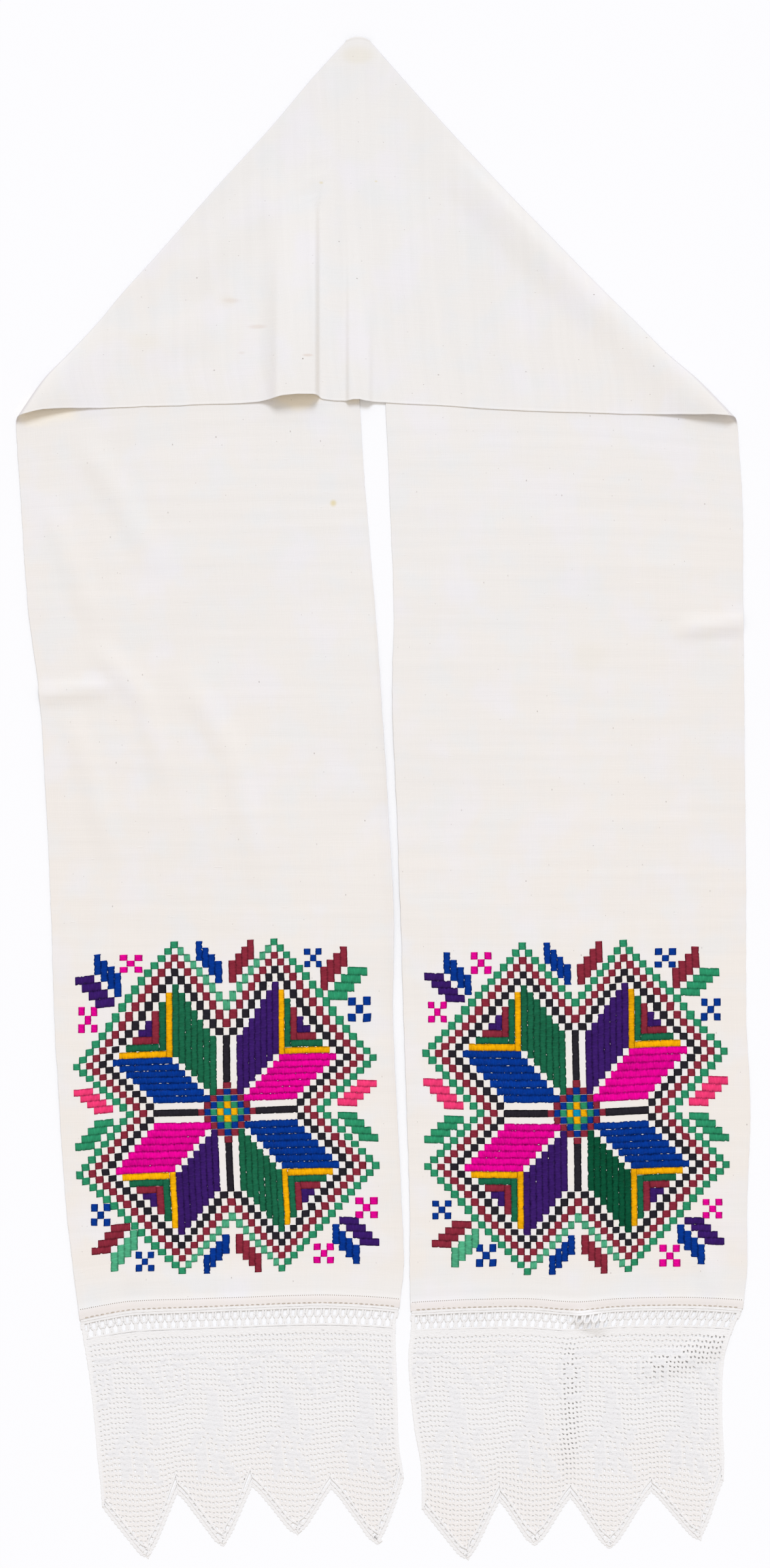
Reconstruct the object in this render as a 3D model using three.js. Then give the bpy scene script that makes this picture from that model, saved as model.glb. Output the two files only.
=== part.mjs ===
// A rushnyk: a long embroidered ritual towel of off-white homespun, laid out flat.
// The middle of the strip runs from left to right. Both ends turn under along a diagonal
// fold and run down side by side as two legs, so the folded middle is a large triangle on
// top. A crocheted lace edging with four points is sewn to the hem of each leg.
//
// Millimetres, +X right, +Y towards the apex of the triangle, +Z up. The legs lie on z = 0.
// While it is worked out, x = 0 and y = 0 are the middle of the front selvedge, the lower
// edge of the triangle. At the end the origin moves to the middle of the bottom.

import * as THREE from 'three';

// ---------------------------------------------------------------- driving dimensions

const CLOTH_WIDTH = 350; // between the selvedges, laid flat
const CLOTH_THICKNESS = 1.2;
const HEM_DEPTH = 8; // turned up twice at each end, so it is thicker
const HEM_THICKNESS = 2;
const LEG_LENGTH = 902; // from the front selvedge down to the edge of the hem
const APEX_HALF_WIDTH = 9; // the apex is blunt
const APEX_HEIGHT = 361; // from the front selvedge to the apex
const CORNER_SAG = 16; // the two lower corners lie this much lower than the middle

const LAYER_GAP = 1; // air between the triangle and the legs under it
const ROLL_RADIUS = 2; // of the cloth where it turns under
const CORNER_ROLL_RADIUS = 5; // the roll opens towards the lower corners
const CORNER_ROLL_LENGTH = 90;
const ROLL_SETTLE = 30; // how far in from the fold the top layer takes to lie down
const ROLL_EVEN_OUT = 60; // the roll's extra length is taken up over this distance

const LACE_THICKNESS = 1.2;
const PIECE_GAP = 0.3; // between the hem and the lace

// The diagonal folds. rise is measured across the strip from its front selvedge.
const FOLDS = [
  { rise: 0, leftX: -357, rightX: 357 },
  { rise: 45, leftX: -319, rightX: 312 },
  { rise: 90, leftX: -273, rightX: 255 },
  { rise: 150, leftX: -215, rightX: 192 },
  { rise: 210, leftX: -158, rightX: 128 },
  { rise: 270, leftX: -100, rightX: 66 },
  { rise: 315, leftX: -59, rightX: 27 },
  { rise: CLOTH_WIDTH, leftX: -26, rightX: -9 },
];

// The selvedges of the legs. down is measured from the front selvedge of the triangle, and
// sag is how much lower the outer selvedge lies than the inner one.
const LEGS = {
  left: [
    { down: 0, outerX: -357, innerX: -16, sag: CORNER_SAG },
    { down: 90, outerX: -352, innerX: -10, sag: 10 },
    { down: 200, outerX: -345, innerX: -1, sag: 4 },
    { down: 300, outerX: -333, innerX: 6, sag: 0 },
    { down: 400, outerX: -327, innerX: 12, sag: 0 },
    { down: 510, outerX: -322, innerX: 18, sag: 0 },
    { down: 610, outerX: -319, innerX: 17, sag: 0 },
    { down: 700, outerX: -314, innerX: 21, sag: 0 },
    { down: 800, outerX: -307, innerX: 26, sag: 1 },
    { down: 860, outerX: -300, innerX: 28, sag: 3 },
    { down: LEG_LENGTH, outerX: -294, innerX: 24, sag: 9 },
  ],
  right: [
    { down: 0, outerX: 357, innerX: 10, sag: CORNER_SAG },
    { down: 90, outerX: 364, innerX: 14, sag: 10 },
    { down: 200, outerX: 365, innerX: 18, sag: 4 },
    { down: 300, outerX: 366, innerX: 17, sag: 0 },
    { down: 400, outerX: 367, innerX: 21, sag: 0 },
    { down: 510, outerX: 368, innerX: 25, sag: 0 },
    { down: 610, outerX: 368, innerX: 28, sag: 0 },
    { down: 700, outerX: 372, innerX: 31, sag: 0 },
    { down: 800, outerX: 369, innerX: 34, sag: 0 },
    { down: 860, outerX: 369, innerX: 34, sag: 0 },
    { down: LEG_LENGTH, outerX: 365, innerX: 35, sag: 0 },
  ],
};

// The front selvedge is not straight: how far it lies above the line between the corners.
const FRONT_SELVEDGE = [
  { x: -357, above: 0 },
  { x: -330, above: 7 },
  { x: -286, above: 9.5 },
  { x: -193, above: 13 },
  { x: -115, above: 15 },
  { x: -97, above: 20 },
  { x: -80, above: 24 },
  { x: -60, above: 23 },
  { x: -52, above: 20 },
  { x: -28, above: 18.5 },
  { x: 0, above: 17 },
  { x: 52, above: 13.5 },
  { x: 142, above: 8 },
  { x: 246, above: 4.5 },
  { x: 330, above: 2 },
  { x: 357, above: 0 },
];

// The soft pleats at the middle of the triangle, seen in section along the front selvedge.
// reach is how far up the triangle each part of the section goes before it has died out.
const PLEATS = [
  { x: -140, height: 0, reach: 200 },
  { x: -113, height: 1.2, reach: 220 },
  { x: -103, height: 0.2, reach: 240 },
  { x: -96, height: 7, reach: 250 },
  { x: -88, height: 9, reach: 250 },
  { x: -72, height: 9, reach: 260 },
  { x: -63, height: 7, reach: 290 },
  { x: -57, height: 0.4, reach: 290 },
  { x: -50, height: 4, reach: 290 },
  { x: -42, height: 5, reach: 270 },
  { x: -34, height: 3.5, reach: 250 },
  { x: -26, height: 0.5, reach: 230 },
  { x: -17, height: 2.5, reach: 200 },
  { x: -8, height: 3, reach: 180 },
  { x: 1, height: 0, reach: 170 },
  { x: 10, height: 2, reach: 160 },
  { x: 28, height: 1, reach: 150 },
  { x: 50, height: 0, reach: 150 },
];

// Soft ridges in the legs and the lace, each from one end through its middle to the other.
const RIDGES = [
  { fromX: -310, fromY: -30, viaX: -266, viaY: -90, toX: -224, toY: -172, halfWidth: 27, height: 3.5 },
  { fromX: -338, fromY: -85, viaX: -303, viaY: -165, toX: -272, toY: -248, halfWidth: 22, height: 2.5 },
  { fromX: -300, fromY: -228, viaX: -236, viaY: -296, toX: -206, toY: -410, halfWidth: 24, height: 3 },
  { fromX: -202, fromY: -262, viaX: -143, viaY: -350, toX: -106, toY: -512, halfWidth: 26, height: 3 },
  { fromX: -306, fromY: -302, viaX: -282, viaY: -375, toX: -257, toY: -482, halfWidth: 22, height: 2.5 },
  { fromX: -345, fromY: -292, viaX: -300, viaY: -287, toX: -248, toY: -283, halfWidth: 12, height: 3 },
  { fromX: -238, fromY: -812, viaX: -240, viaY: -850, toX: -243, toY: -890, halfWidth: 14, height: 1.5 },
  { fromX: 378, fromY: -217, viaX: 335, viaY: -222, toX: 290, toY: -226, halfWidth: 12, height: 3.5 },
  { fromX: 322, fromY: -838, viaX: 330, viaY: -868, toX: 336, toY: -896, halfWidth: 14, height: 1.5 },
  { fromX: 362, fromY: -925, viaX: 312, viaY: -948, toX: 252, toY: -968, halfWidth: 16, height: 3.5 },
  { fromX: 193, fromY: -920, viaX: 194, viaY: -1000, toX: 190, toY: -1078, halfWidth: 16, height: 2.5 },
];

// The lace: its side edges from the hem down, and its lower edge from left to right.
const LACES = {
  left: {
    sides: [
      { depth: 0, leftX: -293, rightX: 23 },
      { depth: 15, leftX: -291, rightX: 20 },
      { depth: 60, leftX: -284, rightX: 19.5 },
      { depth: 100, leftX: -279, rightX: 20 },
      { depth: 135, leftX: -276, rightX: 21 },
      { depth: 165, leftX: -273, rightX: 26 },
      { depth: 185, leftX: -272, rightX: 28 },
      { depth: 250, leftX: -272, rightX: 28 },
    ],
    points: [
      { across: 0, depth: 182 },
      { across: 0.15, depth: 244 },
      { across: 0.25, depth: 184 },
      { across: 0.4, depth: 236 },
      { across: 0.51, depth: 180 },
      { across: 0.645, depth: 228 },
      { across: 0.77, depth: 186 },
      { across: 0.91, depth: 237 },
      { across: 1, depth: 180 },
    ],
  },
  right: {
    sides: [
      { depth: 0, leftX: 36, rightX: 364 },
      { depth: 20, leftX: 35, rightX: 355 },
      { depth: 45, leftX: 32.5, rightX: 346 },
      { depth: 80, leftX: 34.5, rightX: 343 },
      { depth: 120, leftX: 39, rightX: 344 },
      { depth: 150, leftX: 44.5, rightX: 346 },
      { depth: 185, leftX: 46, rightX: 345 },
      { depth: 250, leftX: 45, rightX: 345 },
    ],
    points: [
      { across: 0, depth: 194 },
      { across: 0.155, depth: 249 },
      { across: 0.26, depth: 190 },
      { across: 0.375, depth: 234 },
      { across: 0.48, depth: 184 },
      { across: 0.625, depth: 239 },
      { across: 0.76, depth: 181 },
      { across: 0.925, depth: 231 },
      { across: 1, depth: 174 },
    ],
  },
};

// ---------------------------------------------------------------- small tools

const mix = (a, b, t) => a + (b - a) * t;

const clamp01 = (t) => Math.min(1, Math.max(0, t));

// Rises from 0 to 1 with no corner at either end.
const ease = (t) => {
  const c = clamp01(t);
  return c * c * (3 - 2 * c);
};

// A smooth curve through one column of a table, which has its rows in the order of key.
function lookUp(table, key, column, at) {
  const last = table.length - 1;
  if (at <= table[0][key]) return table[0][column];
  if (at >= table[last][key]) return table[last][column];
  let row = 0;
  while (at > table[row + 1][key]) row += 1;
  const slope = (a, b) => (table[b][column] - table[a][column]) / (table[b][key] - table[a][key]);
  const run = table[row + 1][key] - table[row][key];
  const startSlope = slope(Math.max(row - 1, 0), row + 1);
  const endSlope = slope(row, Math.min(row + 2, last));
  const t = (at - table[row][key]) / run;
  const bend = t * (1 - t) * (1 - t) * startSlope - t * t * (1 - t) * endSlope;
  return mix(table[row][column], table[row + 1][column], ease(t)) + run * bend;
}

// The height that one ridge adds at a point: rounded across, and dying out at both ends.
function ridgeHeight(ridge, x, y) {
  const parts = [
    [ridge.fromX, ridge.fromY, ridge.viaX, ridge.viaY, 0],
    [ridge.viaX, ridge.viaY, ridge.toX, ridge.toY, 0.5],
  ];
  let best = 0;
  for (const [ax, ay, bx, by, start] of parts) {
    const reach = (bx - ax) ** 2 + (by - ay) ** 2;
    const t = clamp01(((x - ax) * (bx - ax) + (y - ay) * (by - ay)) / reach);
    const away = Math.hypot(x - mix(ax, bx, t), y - mix(ay, by, t)) / ridge.halfWidth;
    const run = start + t / 2;
    const fade = ease(run * 4) * ease((1 - run) * 3);
    if (away < 1) best = Math.max(best, ridge.height * fade * (1 - away * away) ** 2);
  }
  return best;
}

const ridgesAt = (x, y) => Math.max(...RIDGES.map((ridge) => ridgeHeight(ridge, x, y)));

// ---------------------------------------------------------------- the folded strip

// A point of the flat strip is given by along, its distance from the middle of the length
// (negative on the left), and across, its distance from the front selvedge.
const FOLD_SUM = CLOTH_WIDTH + APEX_HALF_WIDTH; // |along| + across is this on a fold
const STRIP_END = FOLD_SUM + LEG_LENGTH; // |along| at the edge of the hem
const LAYER_STEP = CLOTH_THICKNESS + LAYER_GAP; // from the middle of one layer to the next

const rollRadius = (across) =>
  mix(CORNER_ROLL_RADIUS, ROLL_RADIUS, ease(across / CORNER_ROLL_LENGTH));

// Half the length of cloth that goes round the roll.
const rollHalf = (across) => (Math.PI / 2) * rollRadius(across);

// Where the triangle's two folds are at a height across the strip.
const foldX = (side, rise) => lookUp(FOLDS, 'rise', side < 0 ? 'leftX' : 'rightX', rise);
const foldY = (rise) => mix(-CORNER_SAG, APEX_HEIGHT, rise / CLOTH_WIDTH);

// A place in a leg: share runs from the inner selvedge, 0, to the outer one, 1, and rise
// from the front selvedge up under the triangle, or down the leg where it is negative.
function legPlace(side, share, rise) {
  const table = side < 0 ? LEGS.left : LEGS.right;
  const bow = share ** 3;
  if (rise < 0) {
    const column = (name) => lookUp(table, 'down', name, -rise);
    const x = mix(column('innerX'), column('outerX'), share);
    return { x, y: rise - column('sag') * bow };
  }
  const up = rise / CLOTH_WIDTH;
  const innerX = mix(table[0].innerX, foldX(side, CLOTH_WIDTH), up);
  return { x: mix(innerX, foldX(side, rise), share), y: mix(APEX_HEIGHT * up, foldY(rise), bow) };
}

// A place in the triangle, from the same place on a straight and unwarped triangle.
function trianglePlace(flatX, rise) {
  const half = FOLD_SUM - rise;
  const share = (flatX + half) / (2 * half);
  const selvedgeX = mix(FOLDS[0].leftX, FOLDS[0].rightX, share);
  const above = lookUp(FRONT_SELVEDGE, 'x', 'above', selvedgeX);
  const x = mix(foldX(-1, rise), foldX(1, rise), share);
  return { x, y: foldY(rise) + above * (1 - rise / CLOTH_WIDTH) };
}

// The pleats are deepest at the front selvedge and die out towards the apex.
function pleatHeight(x, across) {
  const reach = lookUp(PLEATS, 'x', 'reach', x);
  return Math.max(0, lookUp(PLEATS, 'x', 'height', x)) * (1 - ease(across / reach));
}

// The middle of the folded cloth's thickness at a point of the flat strip, counted from
// the height at which it lies on the ground.
function clothPoint(along, across) {
  const side = along < 0 ? -1 : 1;
  const radius = rollRadius(across);
  const half = rollHalf(across);
  const past = (Math.abs(along) + across - FOLD_SUM) / Math.SQRT2;
  const near = Math.abs(past);

  // In plan the roll takes up less than its own length, which evens out behind it.
  const evenOut = Math.min(ROLL_EVEN_OUT, (FOLD_SUM - across) / Math.SQRT2);
  let inset = near;
  if (near < half) {
    inset = radius - radius * Math.cos(near / radius);
  } else if (near < evenOut) {
    inset = mix(radius, evenOut, (near - half) / (evenOut - half));
  }
  const shift = (past + inset) / Math.SQRT2;
  const flatX = Math.abs(along) - shift;
  const rise = across - shift;

  if (past < 0) {
    const { x, y } = trianglePlace(side * flatX, rise);
    const settled = Math.exp(-(((near - half) / ROLL_SETTLE) ** 2));
    const z = near < half
      ? radius + radius * Math.sin(near / radius)
      : mix(LAYER_STEP, 2 * radius, settled);
    return new THREE.Vector3(x, y, z + pleatHeight(x, across));
  }
  const width = CLOTH_WIDTH - Math.max(0, rise);
  const share = width > 0 ? (flatX - APEX_HALF_WIDTH) / width : 1;
  const { x, y } = legPlace(side, share, rise);
  const z = near < half ? radius - radius * Math.sin(near / radius) : ridgesAt(x, y);
  return new THREE.Vector3(x, y, z);
}

// ---------------------------------------------------------------- sheets with a thickness

const PROBE = 0.05; // how far to either side a surface is felt for its slope

// Both faces of a sheet at one point. surface(u, v) is its middle, and bounds holds the
// lowest and highest u and v that it may be asked for.
function facesAt(surface, bounds, u, v, thickness) {
  const [lowU, highU, lowV, highV] = bounds;
  const alongU = surface(Math.min(u + PROBE, highU), v).sub(surface(Math.max(u - PROBE, lowU), v));
  const alongV = surface(u, Math.min(v + PROBE, highV)).sub(surface(u, Math.max(v - PROBE, lowV)));
  const out = alongU.cross(alongV).normalize().multiplyScalar(thickness / 2);
  const middle = surface(u, v);
  middle.z += thickness / 2;
  return { front: middle.clone().add(out), back: middle.clone().sub(out) };
}

// One closed body from a grid of points that each have a front and a back.
function closedSheet(grid) {
  const rows = grid.length;
  const columns = grid[0].length;
  const layer = rows * columns;
  const positions = [];
  for (const face of ['front', 'back']) {
    for (const row of grid) {
      for (const point of row) positions.push(...point[face].toArray());
    }
  }
  const triangles = [];
  const quad = (a, b, c, d) => triangles.push(a, b, c, a, c, d);
  const at = (row, column) => row * columns + column;
  for (let row = 0; row < rows - 1; row += 1) {
    for (let column = 0; column < columns - 1; column += 1) {
      const [a, b] = [at(row, column), at(row, column + 1)];
      const [d, c] = [at(row + 1, column), at(row + 1, column + 1)];
      quad(a, b, c, d);
      quad(a + layer, d + layer, c + layer, b + layer);
    }
  }
  const wall = (a, b) => quad(b, a, a + layer, b + layer);
  for (let column = 0; column < columns - 1; column += 1) {
    wall(at(0, column), at(0, column + 1));
    wall(at(rows - 1, column + 1), at(rows - 1, column));
  }
  for (let row = 0; row < rows - 1; row += 1) {
    wall(at(row + 1, 0), at(row, 0));
    wall(at(row, columns - 1), at(row + 1, columns - 1));
  }
  const geometry = new THREE.BufferGeometry();
  geometry.setAttribute('position', new THREE.Float32BufferAttribute(positions, 3));
  geometry.setIndex(triangles);
  geometry.computeVertexNormals();
  return geometry;
}

// ---------------------------------------------------------------- the cloth

const ACROSS_STATIONS = [0, 10, 26, 45, 68, 92, 118, 145, 172, 200, 228, 256, 284, 310, 332, CLOTH_WIDTH];
const HEM_STEP = 0.3; // the thickness changes over this distance on each side of the hem line
const OPEN_LEG = 60; // the columns of the leg are level from here down
const LEG_STATIONS = [
  OPEN_LEG, 92, 122, 152, 182, 205, 222, 240, 262, 280, 292, 305, 325, 350, 380, 412, 445, 480,
  515, 560, 620, 680, 740, 800, 840, 872, LEG_LENGTH - HEM_DEPTH - HEM_STEP,
  LEG_LENGTH - HEM_DEPTH + HEM_STEP, LEG_LENGTH,
];
const HIDDEN_LEG_STEPS = 6;
const ROLL_STEPS = [-1, -2 / 3, -1 / 3, 0, 1 / 3, 2 / 3, 1];
const BETWEEN_FOLD_AND_PLEATS = [0.05, 0.12, 0.22, 0.36, 0.54, 0.76];

// The columns of one row of the grid, as distances along the strip from left to right.
function clothColumns(across) {
  const foldAlong = FOLD_SUM - across;
  const rollReach = Math.SQRT2 * rollHalf(across);
  const edge = foldAlong - rollReach;

  const leg = [];
  for (let step = 1; step < HIDDEN_LEG_STEPS; step += 1) {
    leg.push(mix(foldAlong + rollReach, FOLD_SUM + OPEN_LEG, step / HIDDEN_LEG_STEPS));
  }
  leg.push(...LEG_STATIONS.map((down) => FOLD_SUM + down));
  const roll = ROLL_STEPS.map((step) => foldAlong + step * rollReach);

  // The pleats' own columns stand upright until the folds close in on them.
  const outerShare = mix(0.1, 0.2, ease((across / CLOTH_WIDTH - 0.5) * 2));
  const limit = edge * (1 - 2 * outerShare);
  const [leftX, rightX] = [foldX(-1, across), foldX(1, across)];
  const upright = PLEATS.map(({ x }) => (2 * (x - leftX) / (rightX - leftX) - 1) * foldAlong);
  const first = Math.max(upright[0], -limit);
  const last = Math.min(upright[upright.length - 1], limit);
  const spread = (last - first) / (upright[upright.length - 1] - upright[0]);
  const pleats = upright.map((along) => first + (along - upright[0]) * spread);

  const leftOuter = BETWEEN_FOLD_AND_PLEATS.map((share) => mix(-edge, first, share));
  const rightOuter = BETWEEN_FOLD_AND_PLEATS.map((share) => mix(edge, last, share)).reverse();
  const mirrored = (list) => list.map((along) => -along).reverse();
  return [
    ...mirrored(leg), ...mirrored(roll), ...leftOuter, ...pleats, ...rightOuter, ...roll, ...leg,
  ];
}

function clothGeometry() {
  const hemLine = STRIP_END - HEM_DEPTH;
  const bounds = [-STRIP_END, STRIP_END, 0, CLOTH_WIDTH];
  const grid = ACROSS_STATIONS.map((across) =>
    clothColumns(across).map((along) => {
      const thickness = Math.abs(along) > hemLine ? HEM_THICKNESS : CLOTH_THICKNESS;
      return facesAt(clothPoint, bounds, along, across, thickness);
    }));
  return closedSheet(grid);
}

// ---------------------------------------------------------------- the lace

const LACE_ROWS = [0, 0.12, 0.26, 0.4, 0.55, 0.7, 0.85, 1]; // shares of the depth
const COLUMNS_PER_SLOPE = 3; // from a point of the edge to the notch beside it

// The depth of the pointed edge, which runs straight between its points and notches.
function edgeDepth(points, share) {
  let row = 0;
  while (row < points.length - 2 && share > points[row + 1].across) row += 1;
  const [from, to] = [points[row], points[row + 1]];
  return mix(from.depth, to.depth, (share - from.across) / (to.across - from.across));
}

// The middle of one lace: share runs from its left edge to its right one, and part from
// the hem down to the pointed edge.
function lacePoint(side, share, part) {
  const { sides, points } = side < 0 ? LACES.left : LACES.right;
  const depth = part * edgeDepth(points, share);
  const leftX = lookUp(sides, 'depth', 'leftX', depth);
  const rightX = lookUp(sides, 'depth', 'rightX', depth);
  const hem = legPlace(side, side < 0 ? 1 - share : share, -LEG_LENGTH);
  const x = mix(leftX, rightX, share);
  const y = hem.y - PIECE_GAP - depth;
  return new THREE.Vector3(x, y, ridgesAt(x, y));
}

function laceGeometry(side) {
  const { points } = side < 0 ? LACES.left : LACES.right;
  const shares = [0];
  for (let row = 1; row < points.length; row += 1) {
    for (let step = 1; step <= COLUMNS_PER_SLOPE; step += 1) {
      shares.push(mix(points[row - 1].across, points[row].across, step / COLUMNS_PER_SLOPE));
    }
  }
  const surface = (share, part) => lacePoint(side, share, 1 - part);
  const bounds = [0, 1, 0, 1];
  const grid = LACE_ROWS.map((part) =>
    shares.map((share) => facesAt(surface, bounds, share, part, LACE_THICKNESS)));
  return closedSheet(grid);
}

// ---------------------------------------------------------------- the object

const COLOURS = { cloth: '#efece6', lace: '#e9e7e0' };

function piece(name, geometry, colour, roughness) {
  const material = new THREE.MeshStandardMaterial({ color: colour, roughness, metalness: 0 });
  const mesh = new THREE.Mesh(geometry, material);
  mesh.name = name;
  return mesh;
}

const rushnyk = new THREE.Group();
rushnyk.add(piece('cloth', clothGeometry(), COLOURS.cloth, 0.9));
rushnyk.add(piece('lace_left', laceGeometry(-1), COLOURS.lace, 0.95));
rushnyk.add(piece('lace_right', laceGeometry(1), COLOURS.lace, 0.95));

// The origin goes to the middle of the bottom.
const box = new THREE.Box3().setFromObject(rushnyk);
const centre = box.getCenter(new THREE.Vector3());
rushnyk.position.set(-centre.x, -centre.y, -box.min.z);
rushnyk.updateMatrixWorld(true);

export default rushnyk;
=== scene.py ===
"""The looks of a rushnyk: homespun cloth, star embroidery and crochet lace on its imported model."""

import math
import random

import bmesh
import bpy
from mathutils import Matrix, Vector, noise


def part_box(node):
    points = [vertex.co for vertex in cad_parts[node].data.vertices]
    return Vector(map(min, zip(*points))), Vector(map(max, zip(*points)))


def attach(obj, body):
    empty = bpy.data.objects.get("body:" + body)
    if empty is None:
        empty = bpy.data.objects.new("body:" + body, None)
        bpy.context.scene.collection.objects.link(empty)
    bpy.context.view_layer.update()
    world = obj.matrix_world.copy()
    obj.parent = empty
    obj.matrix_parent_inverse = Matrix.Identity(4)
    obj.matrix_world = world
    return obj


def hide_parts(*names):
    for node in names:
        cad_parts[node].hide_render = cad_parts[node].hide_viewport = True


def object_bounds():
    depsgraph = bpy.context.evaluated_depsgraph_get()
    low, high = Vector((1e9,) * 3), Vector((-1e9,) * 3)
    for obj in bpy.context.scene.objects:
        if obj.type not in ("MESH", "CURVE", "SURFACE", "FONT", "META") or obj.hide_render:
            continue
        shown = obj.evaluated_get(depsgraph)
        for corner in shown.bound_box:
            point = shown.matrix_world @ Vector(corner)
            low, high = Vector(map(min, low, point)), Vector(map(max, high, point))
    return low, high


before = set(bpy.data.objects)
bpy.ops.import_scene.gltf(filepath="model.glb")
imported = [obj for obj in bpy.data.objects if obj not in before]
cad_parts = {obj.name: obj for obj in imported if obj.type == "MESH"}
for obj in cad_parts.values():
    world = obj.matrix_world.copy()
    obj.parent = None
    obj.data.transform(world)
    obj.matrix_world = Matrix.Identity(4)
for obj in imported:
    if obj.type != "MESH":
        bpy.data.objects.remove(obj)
CAD_BOX = [list(corner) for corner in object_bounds()]

bl_info = {
    "name": "Rushnyk",
    "version": (1, 0, 0),
    "blender": (4, 5, 0),
    "location": "View3D > Sidebar > Rushnyk",
    "description": "A folded ritual towel with star embroidery and crochet lace",
    "category": "Add Mesh",
}

MM = 0.001

# ---------------- sizes, in millimetres
# x = 0 and y = 0 are the middle of the front selvedge, the lower edge of the triangle.

CLOTH_WIDTH = 350.0
LEG_LENGTH = 902.0
APEX_HALF_WIDTH = 9.0
APEX_HEIGHT = 358.5
APEX_DOME = 4.5
APEX_DOME_REACH = 16.0
CORNER_SAG = 16.0
LAYER_STEP = 0.85  # from the middle of one layer to the next
ROLL_RADIUS = 0.9
CORNER_ROLL_RADIUS = 4.6
CORNER_ROLL_LENGTH = 90.0
ROLL_SETTLE = 30.0
ROLL_EVEN_OUT = 60.0
HEM_DEPTH = 8.0
FOLD_SUM = CLOTH_WIDTH + APEX_HALF_WIDTH  # |along| + across is this on a fold
STRIP_END = FOLD_SUM + LEG_LENGTH

# rise across the strip, x of the left fold, x of the right fold
FOLDS = [
    (0, -355.5, 357), (36, -329, 319.5), (60, -304, 289.5), (90, -274, 257.5), (115, -252, 230),
    (150, -218, 193.2), (210, -162, 130.5), (270, -103.7, 70.5), (315, -63.2, 27.2),
    (CLOTH_WIDTH, -29.2, -5.6),
]

# down the leg, x of the outer selvedge, x of the inner one, how much lower the outer one lies
LEGS = {
    -1: [
        (0, -355.5, -16, CORNER_SAG), (90, -352, -10, 10), (200, -345, -1, 4), (300, -333, 6, 0),
        (400, -327, 12, 0), (510, -322, 18, 0), (610, -319, 17, 0), (700, -314, 21, 0),
        (800, -307, 26, 1), (860, -300, 28, 3), (LEG_LENGTH, -294, 24, 9),
    ],
    1: [
        (0, 357, 10, CORNER_SAG), (90, 364, 14, 10), (200, 365, 18, 4), (300, 366, 17, 0),
        (400, 367, 21, 0), (510, 368, 25, 0), (610, 368, 28, 0), (700, 372, 31, 0), (800, 369, 34, 0),
        (860, 369, 34, 0), (LEG_LENGTH, 365, 35, 0),
    ],
}

# share of the leg's width from the inner selvedge, how far the hem is drawn up there
HEM_LIFT = {
    -1: [
        (0, 2.4), (0.07, 4.4), (0.21, 6.6), (0.32, 6.5), (0.47, 5.3), (0.65, 4.6), (0.84, 4.8),
        (0.93, 2.0), (1, -0.8),
    ],
    1: [
        (0, -1.0), (0.1, 0.9), (0.2, 2.2), (0.35, 2.8), (0.5, -0.5), (0.62, 2.8), (0.8, 4.3),
        (0.92, 3.2), (1, 1.4),
    ],
}
HEM_LIFT_REACH = 130.0  # up the leg
LACE_LIFT_REACH = 75.0  # down the lace

# how the cloth lies unevenly: height, length across, length down, seed
DRAPES = [(0.45, 80, 110, 0.5), (0.22, 31, 43, 7.5)]
SWELL_START = 14.0  # how far from a fold the triangle's ridges reach their full height

# x along the front selvedge, how far it lies above the line between the corners
FRONT_SELVEDGE = [
    (-357, 0), (-330, 7), (-286, 9.5), (-193, 13), (-115, 16.4), (-100, 19.6), (-90, 22.1),
    (-80, 22.9), (-57.5, 22.6), (-53, 19.2), (-29, 17.4), (-18, 19), (-11, 17.2), (8, 15.8),
    (52, 13.5), (142, 8), (246, 4.5), (330, 2), (357, 0),
]

# x along the front selvedge, height of the pleats there, how far up the cloth they reach
PLEATS = [
    (-150, 0, 230), (-119, 0.7, 230), (-112, 2.0, 235), (-105, 5.8, 240), (-98.6, 12.0, 240),
    (-96.2, 13.0, 245), (-92, 13.2, 250), (-63, 12.4, 300), (-60, 12.0, 300), (-57.8, 6.4, 300),
    (-55.8, 0.9, 300), (-52, 0.2, 290), (-40, 0.2, 250), (-31.5, 0.3, 200), (-29, 1.1, 190),
    (-27, 3.8, 190), (-25.4, 4.9, 185), (-22, 5.1, 180), (-10, 4.9, 160), (-6.6, 4.4, 150),
    (-3.4, 1.3, 150), (0, 0.1, 150), (30, 0, 150),
]

# soft ridges in the legs and the lace: from x y, through x y, to x y, half width, height
LEG_RIDGES = [
    (-296, -30, -258, -90, -214, -172, 20, 2.4), (-332, -85, -300, -165, -268, -248, 18, 1.8),
    (-290, -228, -230, -296, -200, -410, 18, 2.4), (-196, -262, -143, -350, -106, -512, 20, 2.2),
    (-306, -302, -282, -375, -257, -482, 18, 2.2), (-345, -292, -300, -287, -248, -283, 12, 3),
    (-238, -812, -240, -850, -243, -890, 14, 1.5), (378, -217, 335, -222, 290, -226, 12, 3.5),
    (322, -838, 330, -868, 336, -896, 14, 1.5), (362, -925, 312, -948, 252, -968, 18, 1.3),
    (193, -920, 194, -1000, 190, -1078, 13, 1.0), (192, -906, 212, -914, 236, -920, 13, 3.7),
    (0, -40, 12.5, -330, 29.5, -880, 11, 2.3),
]

# soft ridges in the triangle, in the same columns
TRIANGLE_RIDGES = [
    (55, 264, 181, 135, 304, 18, 34, 3.2), (-78, 232, -150, 160, -206, 100, 30, 1.4),
    (-262, 40, -200, 66, -140, 84, 30, 0.9),
]

# depth below the hem, x of the left edge, x of the right edge
LACE_SIDES = {
    -1: [
        (0, -293, 23), (15, -291, 20), (60, -284, 21), (100, -279.5, 22), (135, -276.5, 23.5),
        (165, -273.5, 28), (185, -272, 29.5), (250, -272, 29.5),
    ],
    1: [
        (0, 36, 364), (20, 35, 355), (45, 32.5, 347), (80, 34.5, 344.5), (120, 39, 345),
        (150, 44.5, 346.5), (185, 46, 345), (250, 45, 345),
    ],
}

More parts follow.
